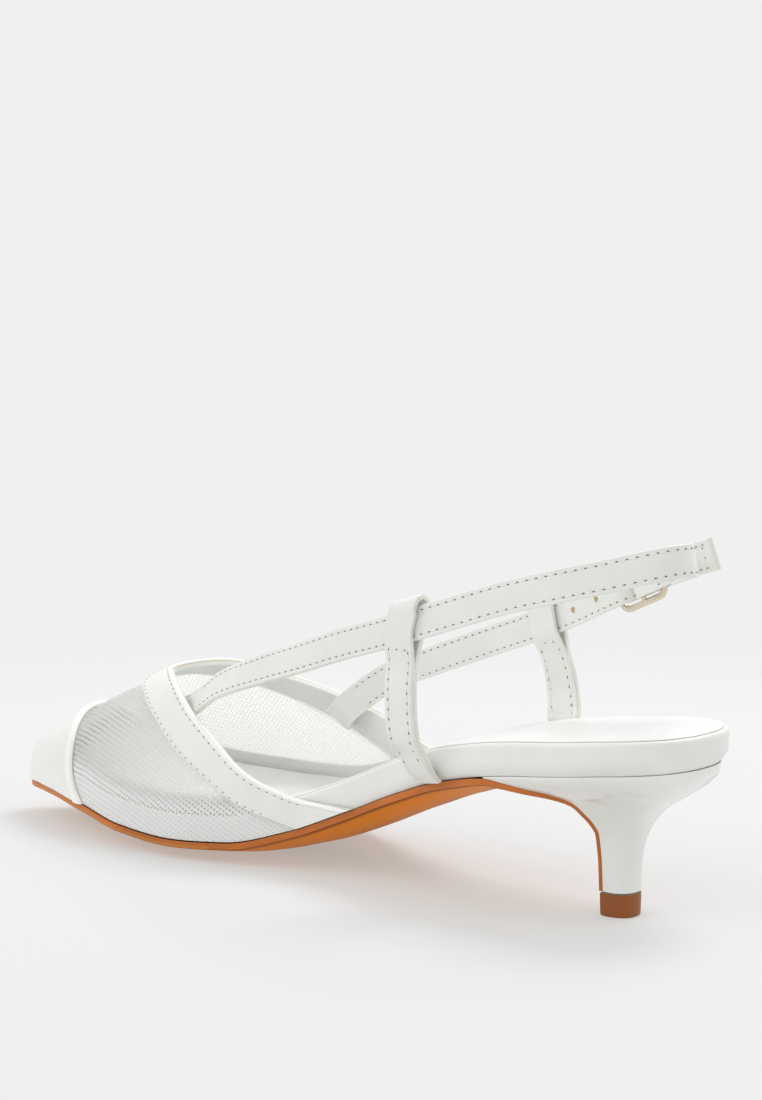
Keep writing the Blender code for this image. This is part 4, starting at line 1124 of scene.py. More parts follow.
@dataclass
class LastStrip:
    """A closed wall on the last between two edges, with its own cross-section."""

    name: str
    finishes: Sequence[Finish]
    slot: Slot
    first: Callable[[float], float]
    last: Callable[[float], float]
    outline: Sequence[tuple[float, float, int]]
    columns: int = 120

    def along(self, share: float, turn: float) -> float:
        """The share of the length at a share between the two edges."""
        start = bend(self.first(turn))
        return unbend(start + (bend(self.last(turn)) - start) * share)

    def point(self, share: float, turn: float, out: float) -> Vector:
        """A point at a share between the edges and a distance out of the last."""
        return LAST.upper_offset(self.along(share, turn), turn, out)

    def build(self, replaces: Sequence[str]) -> None:
        """Makes the wall in place of a solid."""
        piece = Piece(self.name, self.finishes, self.slot)
        ring = list(self.outline)
        rows = len(ring)
        places = [gather(t) for t in spread(0.0, 1.0, self.columns + 1)]
        arcs = self.arcs(places)

        def place(u: float, v: float) -> Vector:
            """A point of the wall."""
            share, out, _ = ring[round(u * rows) % rows]
            return self.point(share, places[round(v * self.columns)], out)

        def uv(u: float, v: float) -> tuple[float, float]:
            """Metres along the shoe and round the last."""
            column = round(v * self.columns)
            share = ring[round(u * rows) % rows][0]
            along = self.along(share, places[column])
            return LAST.length * along, self.arc(arcs, along, column)

        piece.grid(rows, self.columns, place, lambda u, v: ring[int(u * rows) % rows][2], uv)
        piece.close()
        over = piece.body.verts.layers.float.new("over")
        for vert in piece.body.verts:
            vert[over] = vert.co.z - LAST.feather_height(vert.co.x / LAST.length)
        piece.done(replaces)

    @staticmethod
    def arcs(places: Sequence[float]) -> list[list[float]]:
        """Girth lengths from the ridge for a few stations along the last.

        Args:
            places: the turns.

        Returns:
            For each of the stations 0 to 20, a length for each turn.
        """
        table = []
        for station in range(21):
            along = max(0.02, 0.62 * station / 20)
            points = [LAST.upper_point(along, turn) for turn in places]
            lengths = [0.0]
            for a, b in zip(points, points[1:]):
                lengths.append(lengths[-1] + (b - a).length)
            middle = lengths[len(lengths) // 2]
            table.append([value - middle for value in lengths])
        return table

    @staticmethod
    def arc(arcs: Sequence[Sequence[float]], along: float, column: int) -> float:
        """The girth length at a share of the length and a column."""
        place = min(max(along / 0.62 * 20, 0.0), 19.999)
        i = int(place)
        return arcs[i][column] * (1 - place + i) + arcs[i + 1][column] * (place - i)

    def sew(self, stitching: Stitching, share: float, out: float, turns: tuple[float, float]) -> None:
        """Sews a row round the wall.

        Args:
            stitching: where the stitches go.
            share: the place between the edges.
            out: distance out of the last.
            turns: the turns between which the row runs.
        """
        path = spread(*turns, 400)
        stitching.row([self.point(share, turn, out) for turn in path],
                      [LAST.upper_normal(self.along(share, turn), turn) for turn in path])


@dataclass
class Upper:
    """The knit vamp, the patent toe cap, and the topline band with its lining and stitches."""

    vamp_wall: float = 0.0008
    vamp_inner: float = 0.35
    under_band: float = 0.014
    raw_edge: float = 0.0003
    strip_start: float = 0.05
    seam_height: float = 0.0078
    overlay: float = 0.0009
    cap_top: float = 0.0021
    binding_rise: float = 0.0006
    band_top: float = 0.0025
    lining: float = 0.00012
    stitches: Stitching = field(default_factory=lambda: Stitching(
        Piece("band_stitches", (THREAD, NEEDLE_HOLE_SHADE), Slot.LEATHER)))

    def vamp(self) -> None:
        """The knit from the toe to under the band."""
        steps = spread(0.0, 1.0, 70)
        ring = [(s, self.vamp_wall, 0) for s in steps]
        ring += [(s, self.vamp_wall * self.vamp_inner, 0) for s in reversed(steps)]
        LastStrip("knit_vamp", (KNIT,), Slot.MESH, lambda turn: 0.0,
                  lambda turn: EDGES.at("band_front", turn) + self.under_band, ring, 130).build(("vamp",))

    def toe_cap(self) -> None:
        """The patent toe cap with a folded binding along its rear edge, and painted shade in the fold before
        the binding.
        """
        base, top, rise = self.overlay, self.cap_top, self.binding_rise
        ring = [(s, top, 0) for s in spread(0.0, 0.925, 30)]
        ring += [(s, top + off + rise * part, finish) for s, off, part, finish in CAP_BINDING]
        ring += [(1.0, base + self.raw_edge, 2), (1.0, base, 0)]
        ring += [(s, base, 0) for s in spread(0.95, 0.0, 12)]
        LastStrip("patent_toe_cap", (PATENT, BINDING, RAW_EDGE, CREASE_SHADE), Slot.PATENT, lambda turn: 0.0,
                  lambda turn: EDGES.at("cap", turn), ring, 110).build(("toe_cap",))

    def band(self) -> None:
        """The topline band with its folded rear binding, the lining on its inner side and its stitches."""
        base, top, inner = self.overlay, self.band_top, self.lining
        ring = [(0.0, base + 0.0001, 3)]
        ring += [(s, top + off, finish) for s, off, finish in BAND_FRONT]
        ring += [(s, top + BAND_MIDDLE, 0) for s in spread(0.15, 0.72, 10)]
        ring += [(s, top + off, finish) for s, off, finish in BAND_REAR]
        ring += [(s, inner + off, finish) for s, off, finish in BAND_INNER]
        ring += [(s, inner, 3) for s in spread(0.95, 0.03, 12)] + [(0.0, inner + 0.00005, 3)]
        strip = LastStrip("leather_topline_band", (LEATHER, BINDING, RAW_EDGE, LINING), Slot.LEATHER,
                          lambda turn: EDGES.at("band_front", turn), lambda turn: EDGES.at("band_rear", turn),
                          ring, 150)
        strip.build(("topline_band",))
        for share, off in BAND_ROWS:
            strip.sew(self.stitches, share, top + off, (0.03, 0.97))

    def collar_strip(self, name: str, side: int, end: float) -> None:
        """A low lining strip inside the knit, over the footbed's edge, and its dotted seam outside.

        Args:
            name: the side's name.
            side: -1 medial, 1 lateral.
            end: share of the length where the strip ends.
        """
        start, count = self.strip_start, len(LINING_PROFILE)

        def place(u: float, v: float) -> Vector:
            """A point of the strip."""
            along = start + (end - start) * u
            over, out = LINING_PROFILE[round(v * count) % count]
            return LAST.upper_offset(along, LAST.turn_at(along, side, over), out)

        piece = Piece(f"{name}_lining_strip", (LINING,), Slot.LEATHER)
        piece.grid(80, count, place)
        piece.close()
        piece.done()
        dots = Stitching(Piece(f"{name}_seam_dots", (THREAD, NEEDLE_HOLE_SHADE), Slot.MESH), pitch=0.0014, length=0.0006,
                         width=0.0003, hole=0.00016, slit=1.2)
        turns = [(a, LAST.turn_at(a, side, self.seam_height)) for a in spread(0.175, 0.40, 160)]
        dots.row([LAST.upper_offset(a, t, self.vamp_wall) for a, t in turns],
                 [LAST.upper_normal(a, t) for a, t in turns])
        dots.piece.done()

    def build(self) -> None:
        """Makes all of the upper."""
        self.vamp()
        self.toe_cap()
        self.band()
        self.collar_strip("medial", -1, 0.415)
        self.collar_strip("lateral", 1, 0.485)
        self.stitches.piece.done()


@dataclass
class Bottom:
    """The wrapped footbed, its sock, the outsole, the heel and its top piece."""

    rim_round: float = 0.0011
    sock: float = 0.0009
    sock_pad: float = 0.0008
    sock_inset: float = 0.0016
    tongue: float = 0.0011
    waist_ledge: float = 0.0003
    tip_height: float = 0.0065
    tip_inset: float = 0.0211
    tip_half: float = 0.0052
    sole_rows: int = 110
    tongue_rows: int = 70
    line_end: float = 0.38
    seat_seam: float = 0.00006
    heel_clearance: float = 0.0001

    def footbed(self) -> None:
        """The rim wrapped in leather, and the board inside it."""
        rim, lip = LAST.rim_height, self.rim_round
        wall = [(rim * s, 0.0) for s in RIM_WALL]
        wall += [(rim - lip * (1 - math.sin(a)), lip * (1 - math.cos(a))) for a in RIM_LIP]
        wall += [(rim - 0.0001, self.sock_inset), (rim - 0.0012, self.sock_inset + 0.0004),
                 (rim * 0.3, self.sock_inset + 0.0004), (0.0004, 0.0012)]
        rows, columns = 300, len(wall)

        def place(u: float, v: float) -> Vector:
            """A point of the rim, from the toe along the medial side and back along the lateral one."""
            over, inset = wall[round(v * columns) % columns]
            turn = 2 * u
            share = turn if turn <= 1 else 2 - turn
            return LAST.rim_side(min(share * 0.99999, 1.0), -1 if turn <= 1 else 1, over, inset)

        piece = Piece("wrapped_footbed", (LEATHER,), Slot.LEATHER)
        piece.grid(rows, columns, place)
        shares = spread(0.02, 0.995, 90)

        def board(u: float, v: float) -> Vector:
            """A point of the board, over its top and back under it."""
            share = shares[round(u * 89)]
            k = round(v * 24) % 24
            across = k / 12 if k <= 12 else (24 - k) / 12
            over, inset = (rim - self.sock, 0.0012) if k <= 12 else (0.0002, 0.0008)
            ends = [LAST.rim_side(share, side, over, inset) for side in (-1, 1)]
            drop = 0.0 if k <= 12 else LAST.bottom_drop(unbend(share), 2 * across - 1) * 0.9
            return ends[0].lerp(ends[1], across) - Vector((0, 0, drop))

        piece.grid(89, 24, board)
        piece.close()
        piece.done(("footbed",))

    def insole_sock(self) -> None:
        """The soft sheet glued inside the rim, padded at the seat, with painted shade along the seam round its
        edge.
        """
        rim, let_in = LAST.rim_height, self.sock_inset * 0.85
        middle = spread(0.0, 1.0, 17)[1:-1]
        fold = len(SOCK_EDGE)
        columns = 2 * fold + len(middle)
        reach, lift = SOCK_EDGE[-1]

        def place(u: float, v: float) -> Vector:
            """A point of the sheet, from its medial edge over to the lateral one."""
            share = 0.02 + 0.979999 * u
            k = round(v * columns) % columns
            if k < fold or k >= columns - fold:
                inset, height = SOCK_EDGE[min(k, columns - 1 - k)]
                side = -1 if k < fold else 1
                return LAST.rim_side(share, side, rim, let_in + inset) + Vector((0, 0, height))
            across = middle[k - fold]
            ends = [LAST.rim_side(share, side, rim, let_in + reach) for side in (-1, 1)]
            pad = self.sock_pad * smooth_step(0.70, 0.86, share) * smooth_step(1.0, 0.93, share)
            return ends[0].lerp(ends[1], across) + Vector((0, 0, lift + pad * (1 - (2 * across - 1) ** 2)))

        piece = Piece("insole_sock_sheet", (SOCK, SHADE), Slot.SOCK)
        # the outermost faces of the edge take the painted seam shade
        piece.grid(160, columns, place, lambda u, v: 1 if int(v * columns) in (0, columns - 2) else 0,
                   lambda u, v: (u * 0.24, v * 0.06))
        piece.close()
        piece.done(("insole_sock",))

    def tongue_row(self, step: float) -> tuple[Vector, Vector, float, float, Vector]:
        """The outsole's row at a step down the heel breast.

        Args:
            step: from the seat (0) to the tip (1).

        Returns:
            Its two ends, its drop, its thickness and the way through the sheet.
        """
        seat = BREAST.at("along", 0.0)
        top = LAST.feather_height(seat) - LAST.gap
        tip = self.tip_height + LAST.gap
        x = LAST.length * BREAST.at("along", step)
        z = tip + (top - tip) * BREAST.at("level", step)
        half = BREAST.at("half", step)
        drop = LAST.bottom_drop(seat, 0.0) * max(0.0, 1 - step / 0.55) ** 1.5
        thin = LAST.outsole + (self.tongue - LAST.outsole) * min(1.0, step * 2.4)
        ends = [LAST.edge_point(seat, side, self.waist_ledge)[0].y * half for side in (-1, 1)]
        before, after = max(step - 0.01, 0.0), min(step + 0.01, 1.0)
        run_x = LAST.length * (BREAST.at("along", after) - BREAST.at("along", before))
        run_z = (top - tip) * (BREAST.at("level", after) - BREAST.at("level", before))
        down = Vector((run_z, 0.0, -run_x)).normalized()
        return Vector((x, ends[0], z)), Vector((x, ends[1], z)), drop, thin, down

    def outsole_row(self, share: float) -> tuple[Vector, Vector, float, float, Vector]:
        """A row of the outsole under the shoe, from the toe (0) to the seat (1)."""
        along = unbend(bend(BREAST.at("along", 0.0)) * share)
        ledge = self.waist_ledge + (LAST.feather_ledge - self.waist_ledge) * FEATHER.at("ledge", bend(along))
        level = LAST.feather_height(along) - LAST.gap
        ends = [Vector((*LAST.edge_point(along, side, ledge)[0], level)) for side in (-1, 1)]
        return ends[0], ends[1], LAST.bottom_drop(along, 0.0), LAST.outsole, Vector((0, 0, -1))

    def outsole(self) -> None:
        """The tan sheet with its stained edge, up the arch and down the heel breast."""
        rows = [self.outsole_row(s) for s in spread(0.0, 1.0, self.sole_rows)]
        rows += [self.tongue_row(s) for s in spread(0.012, 1.0, self.tongue_rows)]
        across = [math.sin(math.pi / 2 * s) for s in spread(-1.0, 1.0, 25)]
        ring = [(a, 0.0, 1) for a in across] + list(SOLE_RING)
        ring += [(a, 1.0, 0) for a in reversed(across[1:-1])] + [(-a, t, f) for a, t, f in reversed(SOLE_RING)]
        count, columns = len(rows) - 1, len(ring)

        def place(u: float, v: float) -> Vector:
            """A point of the sole's surface."""
            medial, lateral, drop, thick, down = rows[round(u * count)]
            a, through, _ = ring[round(v * columns) % columns]
            point = medial.lerp(lateral, (a + 1) / 2) + down * (drop * (1 - a ** 2) + thick * through)
            point.z = max(point.z, 0.0)
            return point

        def paint(u: float, v: float) -> int:
            """The stained edge, with its lighter line under the forefoot alone."""
            return min(ring[int(v * columns) % columns][2], 2 if u < self.line_end else 1)

        piece = Piece("tan_outsole", (SOLE, SOLE_EDGE, SOLE_LINE), Slot.SOLE)
        piece.grid(count, columns, place, paint, lambda u, v: (u, ring[round(v * columns) % columns][0]))
        piece.close()
        piece.done(("outsole",))

    @staticmethod
    def round_share(share: float) -> float:
        """Half width of the heel's tip from its front (0) to its back (1)."""
        place = 0.30 + 0.70 * share
        return max(0.0, 1 - abs(2 * place - 1) ** 2.3) ** (1 / 2.3)

    def heel_ring(self, ring: float, front_count: int, side_count: int) -> list[Vector]:
        """A ring of the heel block.

        Args:
            ring: from the tip (0) to the seat (1).
            front_count: points across the breast.
            side_count: spans of each side.

        Returns:
            Its points: across the breast, the lateral side, the back, the medial side.
        """
        medial, lateral, drop, _, down = self.tongue_row(HEEL.at("breast", ring))
        front = [medial.lerp(lateral, (a + 1) / 2) + down * (drop * (1 - a ** 2) - self.heel_clearance)
                 for a in spread(-1.0, 1.0, front_count)]
        tip = self.tip_height + LAST.gap
        seat_back = LAST.length - 0.5 * LAST.gap
        tip_back = LAST.length - self.tip_inset
        back_x = tip_back + (seat_back - tip_back) * HEEL.at("back", ring)
        back_z = tip + (LAST.feather_height(1.0) - LAST.gap - tip) * HEEL.at("climb", ring)
        flare = HEEL.at("back", ring) ** 0.8
        sides = {}
        for side, corner in ((-1, front[0]), (1, front[-1])):
            line = []
            for k in range(1, side_count):
                t = (1 - math.cos(math.pi * k / side_count)) / 2
                x = corner.x + (back_x - corner.x) * t
                tip_shape = self.round_share(t) / self.round_share(0.0)
                seat_shape = (LAST.half_width(x / LAST.length, side)
                              / LAST.half_width(corner.x / LAST.length, side))
                y = corner.y * ((1 - flare) * tip_shape + flare * seat_shape)
                line.append(Vector((x, y, corner.z + (back_z - corner.z) * t)))
            sides[side] = line
        points = front + sides[1] + [Vector((back_x, 0.0, back_z))] + sides[-1][::-1]
        for point in points:
            ceiling = LAST.bed_underside(point.x, point.y) - self.seat_seam
            point.z = ceiling if ring >= 1.0 else min(point.z, ceiling - (1 - ring) * 0.002)
        return points

    def heel(self) -> None:
        """The glossy heel block."""
        rings = [self.heel_ring(ring, 13, 26) for ring in spread(0.0, 1.0, 90)]
        count, columns = len(rings) - 1, len(rings[0])
        piece = Piece("patent_heel", (PATENT,), Slot.PATENT)
        piece.grid(count, columns, lambda u, v: rings[round(u * count)][round(v * columns) % columns], 0,
                   lambda u, v: (u * 0.05, v * 0.1))
        piece.close()
        piece.done(("heel",), 60)

    def top_piece(self) -> None:
        """The brown top piece with painted shade along its top, where it meets the heel."""
        front = LAST.length * BREAST.at("along", 1.0) - self.tongue
        sides = 24
        rings = []
        for height, inset, _ in TIP_LEVELS:
            start, back = front + inset + 0.0001, LAST.length - self.tip_inset - inset
            half = self.tip_half * 1.02 - inset
            side = []
            for k in range(sides):
                t = (1 - math.cos(math.pi * k / sides)) / 2
                side.append((start + (back - start) * t, half * self.round_share(t)))
            ring = [Vector((x, y, height)) for x, y in side] + [Vector((back, 0.0, height))]
            ring += [Vector((x, -y, height)) for x, y in reversed(side)]
            rings.append(ring)
        count, columns = len(rings) - 1, len(rings[0])
        piece = Piece("brown_top_piece", (TIP_BROWN, SHADE), Slot.TOP_PIECE)
        piece.grid(count, columns, lambda u, v: rings[round(u * count)][round(v * columns) % columns],
                   lambda u, v: TIP_LEVELS[int(u * count)][2])
        piece.close()
        piece.done(("top_piece",), 40)

    def build(self) -> None:
        """Makes all of the bottom."""
        self.footbed()
        self.insole_sock()
        self.outsole()
        self.heel()
        self.top_piece()


@dataclass
class Straps:
    """The sling strap, the buckle strap and their two loops."""

    width: float = 0.0087
    ply: float = 0.0017
    seat_depth: float = 0.0013
    loop_width: float = 0.0088
    loop_ply: float = 0.0014
    loop_clearance: float = 0.0009
    eye_clearance: float = 0.00065
    loop_drift: float = 0.0095
    hole_pitch: float = 0.0095
    hole_radius: float = 0.0009
    buckle_length: float = 0.0177
    bar_depth: float = 0.0014
    strap_step: float = 0.0014
    loop_step: float = 0.0011
    stitches: Stitching = field(default_factory=lambda: Stitching(
        Piece("strap_stitches", (THREAD, NEEDLE_HOLE_SHADE), Slot.LEATHER)))

    def leaning_frame(self, table: Table, row: float) -> Frame:
        """A strap's frame from its table: upright across the strap but for its inward lean."""
        last = len(table.keys) - 1

        def place_of(where: float) -> Vector:
            """The strap's middle at a row."""
            return Vector((LAST.length * table.at("along", where), LAST.sling_reach * table.at("reach", where),
                           LAST.sling_height * table.at("height", where)))

        place = place_of(row)
        run = (place_of(min(row + 0.2, last)) - place_of(max(row - 0.2, 0))).normalized()
        up = (Vector((0.0, 0.0, 1.0)) - run * run.z).normalized()
        inward = run.cross(up)
        if inward.dot(Vector((place.x - 0.80 * LAST.length, place.y, 0.0))) > 0:
            inward.negate()
        lean = math.radians(table.at("lean", row))
        return Frame(place, up * math.cos(lean) + inward * math.sin(lean), self.ply)

    def seat_frames(self, turn_front: float, turn_rear: float, places: tuple[float, float]) -> list[Frame]:
        """A strap's frames under the topline band, inside the upper.

        Args:
            turn_front: turn of the front frame.
            turn_rear: turn of the rear frame.
            places: their shares between the band's edges.

        Returns:
            The two frames.
        """
        depth = LAST.gap + self.seat_depth + self.ply / 2
        points = []
        for share, turn in ((places[0], turn_front), (places[1], turn_rear)):
            front = EDGES.at("band_front", turn)
            along = front + (EDGES.at("band_rear", turn) - front) * share
            points.append((LAST.upper_offset(along, turn, -depth), LAST.upper_normal(along, turn)))
        run = (points[1][0] - points[0][0]).normalized()
        made = []
        for place, normal in points:
            width = run.cross(normal)
            if width.z < 0:
                width.negate()
            made.append(Frame(place, width.normalized(), self.ply))
        return made

    def buckle_axes(self) -> tuple[Vector, Vector, Vector, Vector]:
        """The buckle's centre, and its directions along the strap, up and outwards."""
        frame_at = self.leaning_frame(BUCKLE_STRAP, 6)
        before, after = (self.leaning_frame(BUCKLE_STRAP, row).place for row in (5, 7))
        run = (after - before).normalized()
        up = (frame_at.width - run * frame_at.width.dot(run)).normalized()
        return frame_at.place, run, up, up.cross(run)

    def fold_frames(self) -> list[Frame]:
        """The sling strap's end, folded round the buckle's centre bar."""
        place, run, up, out = self.buckle_axes()
        ply = 0.55 * self.ply
        radius = self.bar_depth / 2 + LAST.gap + ply / 2
        turns = [(math.cos(math.radians(a)), math.sin(math.radians(a)), 1.0) for a in FOLD_TURNS]
        return [Frame(place + run * (a * radius) + out * (b * radius), up, ply * thick)
                for a, b, thick in (*FOLD_LEAD, *turns, *FOLD_TAIL)]

    def sling(self) -> None:
        """The strap from the band's medial side round the heel to the buckle."""
        frames = self.seat_frames(turn_front=0.272, turn_rear=0.286, places=(0.25, 0.95))
        frames += [self.leaning_frame(SLING, row) for row in range(15)]
        frames += self.fold_frames()
        strap = Strap("leather_sling_strap", smooth_frames(frames, self.strap_step), self.width)
        strap.build(("sling_strap",))
        strap.sew(self.stitches, start=0.06, end=0.90)

    def buckle_strap(self) -> None:
        """The strap from the band's lateral side through the buckle, with its punched holes."""
        frames = self.seat_frames(turn_front=0.822, turn_rear=0.800, places=(0.30, 0.95))
        frames += [self.leaning_frame(BUCKLE_STRAP, row) for row in range(5)]
        place, run, up, out = self.buckle_axes()
        frames += [Frame(place + run * (ahead * self.buckle_length) + out * (off * self.ply), up, self.ply)
                   for ahead, off in THREADING]
        frames.append(self.leaning_frame(BUCKLE_STRAP, 8))
        strap = Strap("leather_buckle_strap", smooth_frames(frames, self.strap_step), self.width)
        crossing = place - run * (0.20 * self.buckle_length)
        line = strap.frames
        near = min(range(len(line)), key=lambda i: (line[i].place - crossing).length)
        cuts = [(crossing + out * (0.9 * self.ply), out, self.hole_radius * 1.1)]
        travelled, hole = 0.0, 1
        for i in range(near, 1, -1):
            travelled += (line[i].place - line[i - 1].place).length
            if hole < 4 and travelled >= hole * self.hole_pitch:
                cuts.append((line[i - 1].place, strap.axes(i - 1)[2], self.hole_radius))
                hole += 1
        strap.build(("buckle_strap",), cuts)
        strap.sew(self.stitches, start=0.07, end=0.985)
        strap.sew_across(self.stitches, where=0.985)

    def loop(self, name: str, side: int, foot: float, held_at: float, stand: float, above: float,
             below: float) -> None:
        """A strap folded over the sling or buckle strap, both plies down outside the rim.

        Args:
            name: the solid that it stands for.
            side: -1 medial, 1 lateral.
            foot: share of the length where it leaves the sole.
            held_at: share of the length where it carries its strap.
            stand: how much of the stand-off it has.
            above: how far it leans back above the strap's middle.
            below: the same below it.
        """
        table = SLING if side < 0 else BUCKLE_STRAP
        prefix = "medial_" if side < 0 else "lateral_"
        last = len(table.keys) - 1
        row = next(r / 100 for r in range(100 * last) if table.at("along", r / 100) >= held_at)
        held = self.leaning_frame(table, row)
        run = (self.leaning_frame(table, row + 0.2).place - held.place).normalized()
        up = (held.width - run * held.width.dot(run)).normalized()
        out = up.cross(run)
        if out.y * side < 0:
            out.negate()

        def around(a: float, b: float) -> Vector:
            """A place round the strap, with the loop's lean."""
            return held.place + out * a + up * b + run * (b * (above if b > 0 else below))

        both = self.loop_ply + LAST.gap / 2
        leg = []
        for step in range(4):
            over, skive = LOOP_FOOT.at("over", step), LOOP_FOOT.at("skive", step)
            along = foot - self.loop_drift * over
            outward = Vector((*LAST.edge_point(along, side)[1], 0.0))
            off = self.loop_clearance + both * skive + LAST.loop_bow * LOOP_FOOT.at("stand", step) * stand
            face = LAST.rim_point(along, side, over * LAST.rim_height)
            width = Vector((abs(outward.y), -outward.x * side, 0.0))
            leg.append((face + outward * off, outward, skive, width))
        rim = leg[-1][0]
        low = around(0.0, -self.width / 2 - 1.6 * self.loop_ply)
        for step in range(4):
            spot = rim.lerp(low, LOOP_LEG.at("climb", step))
            spot.x = rim.x + (low.x - rim.x) * LOOP_LEG.at(prefix + "along", step)
            spot += out * (LAST.loop_bow * LOOP_LEG.at(prefix + "bow", step))
            leg.append((spot, out, 1.0, Vector((1.0, 0.0, 0.0))))

        def ply(entry: tuple[Vector, Vector, float, Vector], outer: int) -> Frame:
            """The frame of one ply of a leg's row."""
            spot, way, skive, width = entry
            return Frame(spot + way * (outer * both * skive / 2), width, self.loop_ply * skive)

        reach = self.ply / 2 + self.eye_clearance + self.loop_ply / 2
        half = self.width / 2
        eye = [(reach, -0.8 * half), (reach, 0.0), (reach, 0.8 * half)]
        eye += [(reach * math.cos(math.radians(a)), half + reach * math.sin(math.radians(a)))
                for a in (15, 45, 90)]
        eye += [(-a, b) for a, b in reversed(eye[:-1])]
        frames = [ply(entry, 1) for entry in leg]
        frames += [Frame(around(a, b), run, self.loop_ply) for a, b in eye]
        frames += [ply(entry, -1) for entry in reversed(leg)]
        strap = Strap(f"leather_{name}", smooth_frames(frames, self.loop_step), self.loop_width,
                      rounding=0.0003)
        strap.build((name,))
        rear = len(strap.frames) - 8
        for row, way, start, end, across in ((4, side, 0.05, 0.36, 0.36), (rear, -side, 0.64, 0.95, 0.64)):
            faces = (1,) if strap.axes(row)[2].dot(Vector((0, way, 0))) > 0 else (-1,)
            strap.sew(self.stitches, start, end, faces)
            strap.sew_across(self.stitches, across, faces)

    def build(self) -> None:
        """Makes all straps, loops and their stitches."""
        self.sling()
        self.buckle_strap()
        self.loop("loop_medial", -1, foot=0.695, held_at=0.6765, stand=1.0, above=0.60, below=0.34)
        self.loop("loop_lateral", 1, foot=0.755, held_at=0.7125, stand=0.0, above=0.20, below=0.20)
        self.stitches.piece.done()


@dataclass
class Buckle:
    """The metal frame with its centre bar, and the prong."""

    straps: Straps
    rail: float = 0.0018
    depth: float = 0.0014
    side_clearance: float = 0.0008
    prong: float = 0.0011

    def wire(self, piece: Piece, path: Sequence[Vector], across: Vector, sizes: Sequence[tuple[float, float]],
             closed: bool, sides: int = 16, power: float = 2.0) -> None:
        """Adds a rounded wire along a path.

        Args:
            piece: where it goes.
            path: its centre line.
            across: a direction square to the path.
            sizes: half its size across and out, for each point.
            closed: whether it comes back to its start.
            sides: spans round it.
            power: 2 is round, more is squarer.
        """
        count = len(path) if closed else len(path) - 1
        rings = []
        for i, place in enumerate(path):
            before = path[i - 1] if closed or i else path[0]
            after = path[(i + 1) % len(path)] if closed or i < count else path[-1]
            run = (after - before).normalized()
            side = (across - run * across.dot(run)).normalized()
            out = run.cross(side)
            ring = []
            for k in range(sides):
                angle = 2 * math.pi * k / sides
                c, s = math.cos(angle), math.sin(angle)
                scale = (abs(c) ** power + abs(s) ** power) ** (-1 / power)
                ring.append(place + side * (sizes[i][0] * c * scale) + out * (sizes[i][1] * s * scale))
            rings.append(ring)
        piece.grid(count, sides, lambda u, v: rings[round(u * count) % len(rings)][round(v * sides) % sides])
        if not closed:
            piece.close()

    def frame_path(self, place: Vector, run: Vector, up: Vector) -> list[Vector]:
        """The middle line of the frame's four rails, with round corners."""
        length = self.straps.buckle_length - self.rail
        height = self.straps.width + 2 * self.side_clearance + self.rail
        radius = 1.5 * self.rail
        points = []
        for quarter, (sx, sy) in enumerate(((1, 1), (-1, 1), (-1, -1), (1, -1))):
            for k in range(9):
                angle = math.radians(90 * quarter + 90 * k / 8)
                points.append(place + run * (sx * (length / 2 - radius) + radius * math.cos(angle))
                              + up * (sy * (height / 2 - radius) + radius * math.sin(angle)))
        return points

    def build(self) -> None:
        """Makes the frame with its bar, and the prong."""
        place, run, up, out = self.straps.buckle_axes()
        piece = Piece("metal_buckle", (METAL,), Slot.METAL)
        path = self.frame_path(place, run, up)
        self.wire(piece, path, out, [(self.depth / 2, self.rail / 2)] * len(path), True, 20, 3.2)
        height = (self.straps.width + 2 * self.side_clearance + self.rail) / 2
        half = self.depth / 2
        bar = [place + up * (height * s) for s in spread(-0.97, 0.97, 12)]
        self.wire(piece, bar, out, [(half * 0.9, half)] * len(bar), False)
        piece.done(("buckle",), 60)
        radius = self.depth / 2 + LAST.gap + self.prong / 2
        tip = 0.5 * self.straps.buckle_length + 0.3 * self.rail
        line = [(radius * math.cos(math.radians(a)), radius * math.sin(math.radians(a)))
                for a in range(-100, 91, 15)]
        line += [(-tip * s, radius) for s in spread(0.12, 1.0, 12)]
        spots = [place + run * a + out * b for a, b in line]
        sizes = [(self.prong / 2, self.prong / 2)] * (len(spots) - 2)
        sizes += [(self.prong * 0.42, self.prong * 0.42), (self.prong * 0.22, self.prong * 0.22)]
        prong = Piece("metal_prong", (METAL,), Slot.METAL)
        self.wire(prong, spots, up, sizes, False, 14)
        prong.done(("prong",), 60)


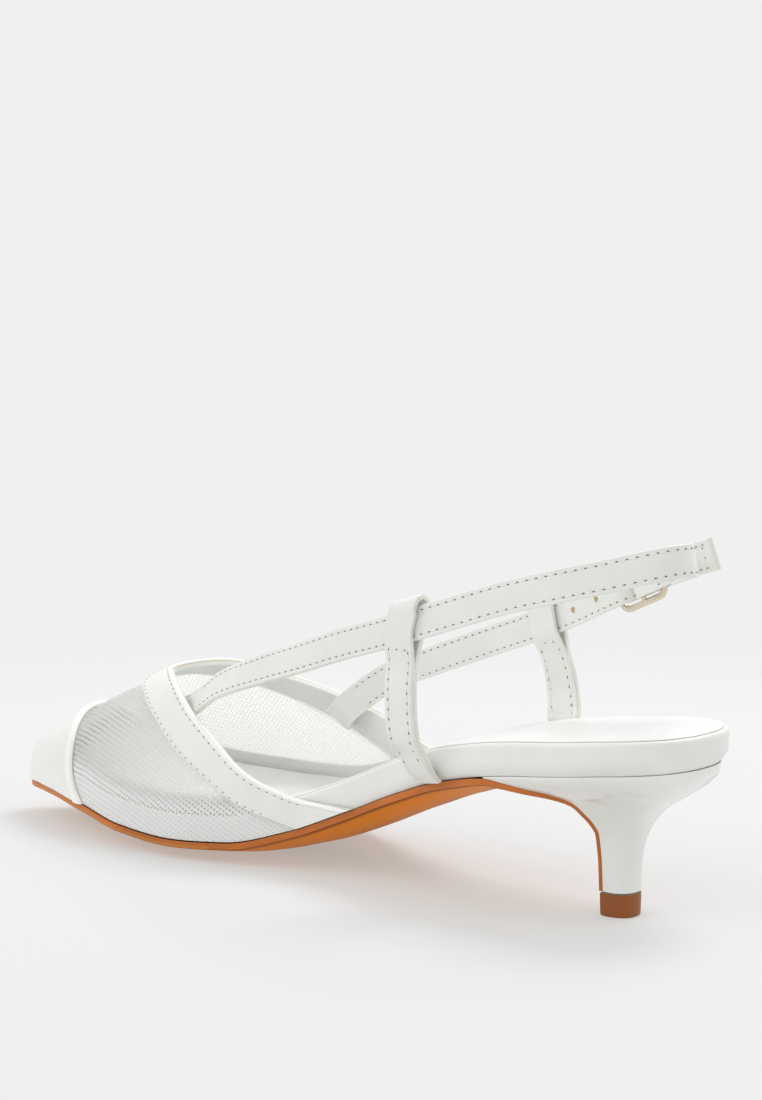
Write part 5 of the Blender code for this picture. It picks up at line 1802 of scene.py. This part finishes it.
@dataclass
class Studio:
    """The floor, the backdrop's light, the lamps and the camera."""

    backdrop: float = 0.871
    overhead: float = 0.90
    zenith: float = 0.78
    floor_size: float = 1.6
    floor_finish: FloorFinish = FloorFinish("floor_paper", (0.421, 0.405, 0.417), 0.9)
    eye: Vector = field(default_factory=lambda: Vector((0.5997, -0.6010, 0.1817)))
    azimuth: float = 37.75
    pitch: float = -6.8
    focal: float = 90.03

    def floor(self) -> None:
        """A pale floor that fades into the backdrop."""
        body = bmesh.new()
        bmesh.ops.create_grid(body, x_segments=8, y_segments=8, size=self.floor_size)
        mesh = bpy.data.meshes.new("studio_floor")
        body.to_mesh(mesh)
        body.free()
        mesh.materials.append(self.floor_finish.build())
        made = bpy.data.objects.new("studio_floor", mesh)
        bpy.context.scene.collection.objects.link(made)

    def world(self) -> None:
        """An even pale surround."""
        world = bpy.data.worlds.new("pale_surround")
        bpy.context.scene.world = world
        world.use_nodes = True
        nodes, links = world.node_tree.nodes, world.node_tree.links
        place = nodes.new("ShaderNodeTexCoord")
        split = nodes.new("ShaderNodeSeparateXYZ")
        ramp = nodes.new("ShaderNodeValToRGB")
        links.new(place.outputs["Generated"], split.inputs[0])
        links.new(split.outputs[2], ramp.inputs[0])
        levels = ((0.0, self.backdrop), (0.13, self.backdrop), (0.40, self.overhead), (1.0, self.zenith))
        set_stops(ramp.color_ramp, [(height, (level,) * 3) for height, level in levels])
        links.new(ramp.outputs[0], nodes["Background"].inputs[0])

    def lamp(self, name: str, place: Vector, size: float, power: float) -> None:
        """A soft square lamp that looks at the shoe.

        Args:
            name: its name.
            place: where it hangs.
            size: its side.
            power: its power in watts.
        """
        light = bpy.data.lights.new(name, "AREA")
        light.size = size
        light.energy = power
        made = bpy.data.objects.new(name, light)
        made.location = place
        made.rotation_euler = (Vector((0, 0, 0.04)) - place).to_track_quat("-Z", "Y").to_euler()
        bpy.context.scene.collection.objects.link(made)

    def camera(self) -> None:
        """The camera at the photograph's viewing angle."""
        data = bpy.data.cameras.new("photo_camera")
        data.lens = self.focal
        data.sensor_width = 36.0
        data.clip_start = 0.05
        made = bpy.data.objects.new("photo_camera", data)
        made.location = self.eye + LAST.shift
        made.rotation_euler = (math.radians(90 + self.pitch), 0.0, math.radians(self.azimuth))
        bpy.context.scene.collection.objects.link(made)
        bpy.context.scene.camera = made

    def build(self) -> None:
        """Sets up the studio."""
        bpy.context.scene.view_settings.view_transform = "Standard"
        self.floor()
        self.world()
        self.lamp("key_lamp", Vector((0.05, 0.75, 1.30)), size=0.7, power=10.5)
        self.lamp("front_lamp", Vector((-0.75, -0.95, 0.95)), size=0.9, power=4.2)
        self.camera()


def main() -> None:
    """Builds the dressed sandal and its studio."""
    logging.basicConfig(level=logging.INFO, format="%(message)s")
    Upper().build()
    Bottom().build()
    straps = Straps()
    straps.build()
    Buckle(straps).build()
    Studio().build()


if __name__ == "__main__":
    main()
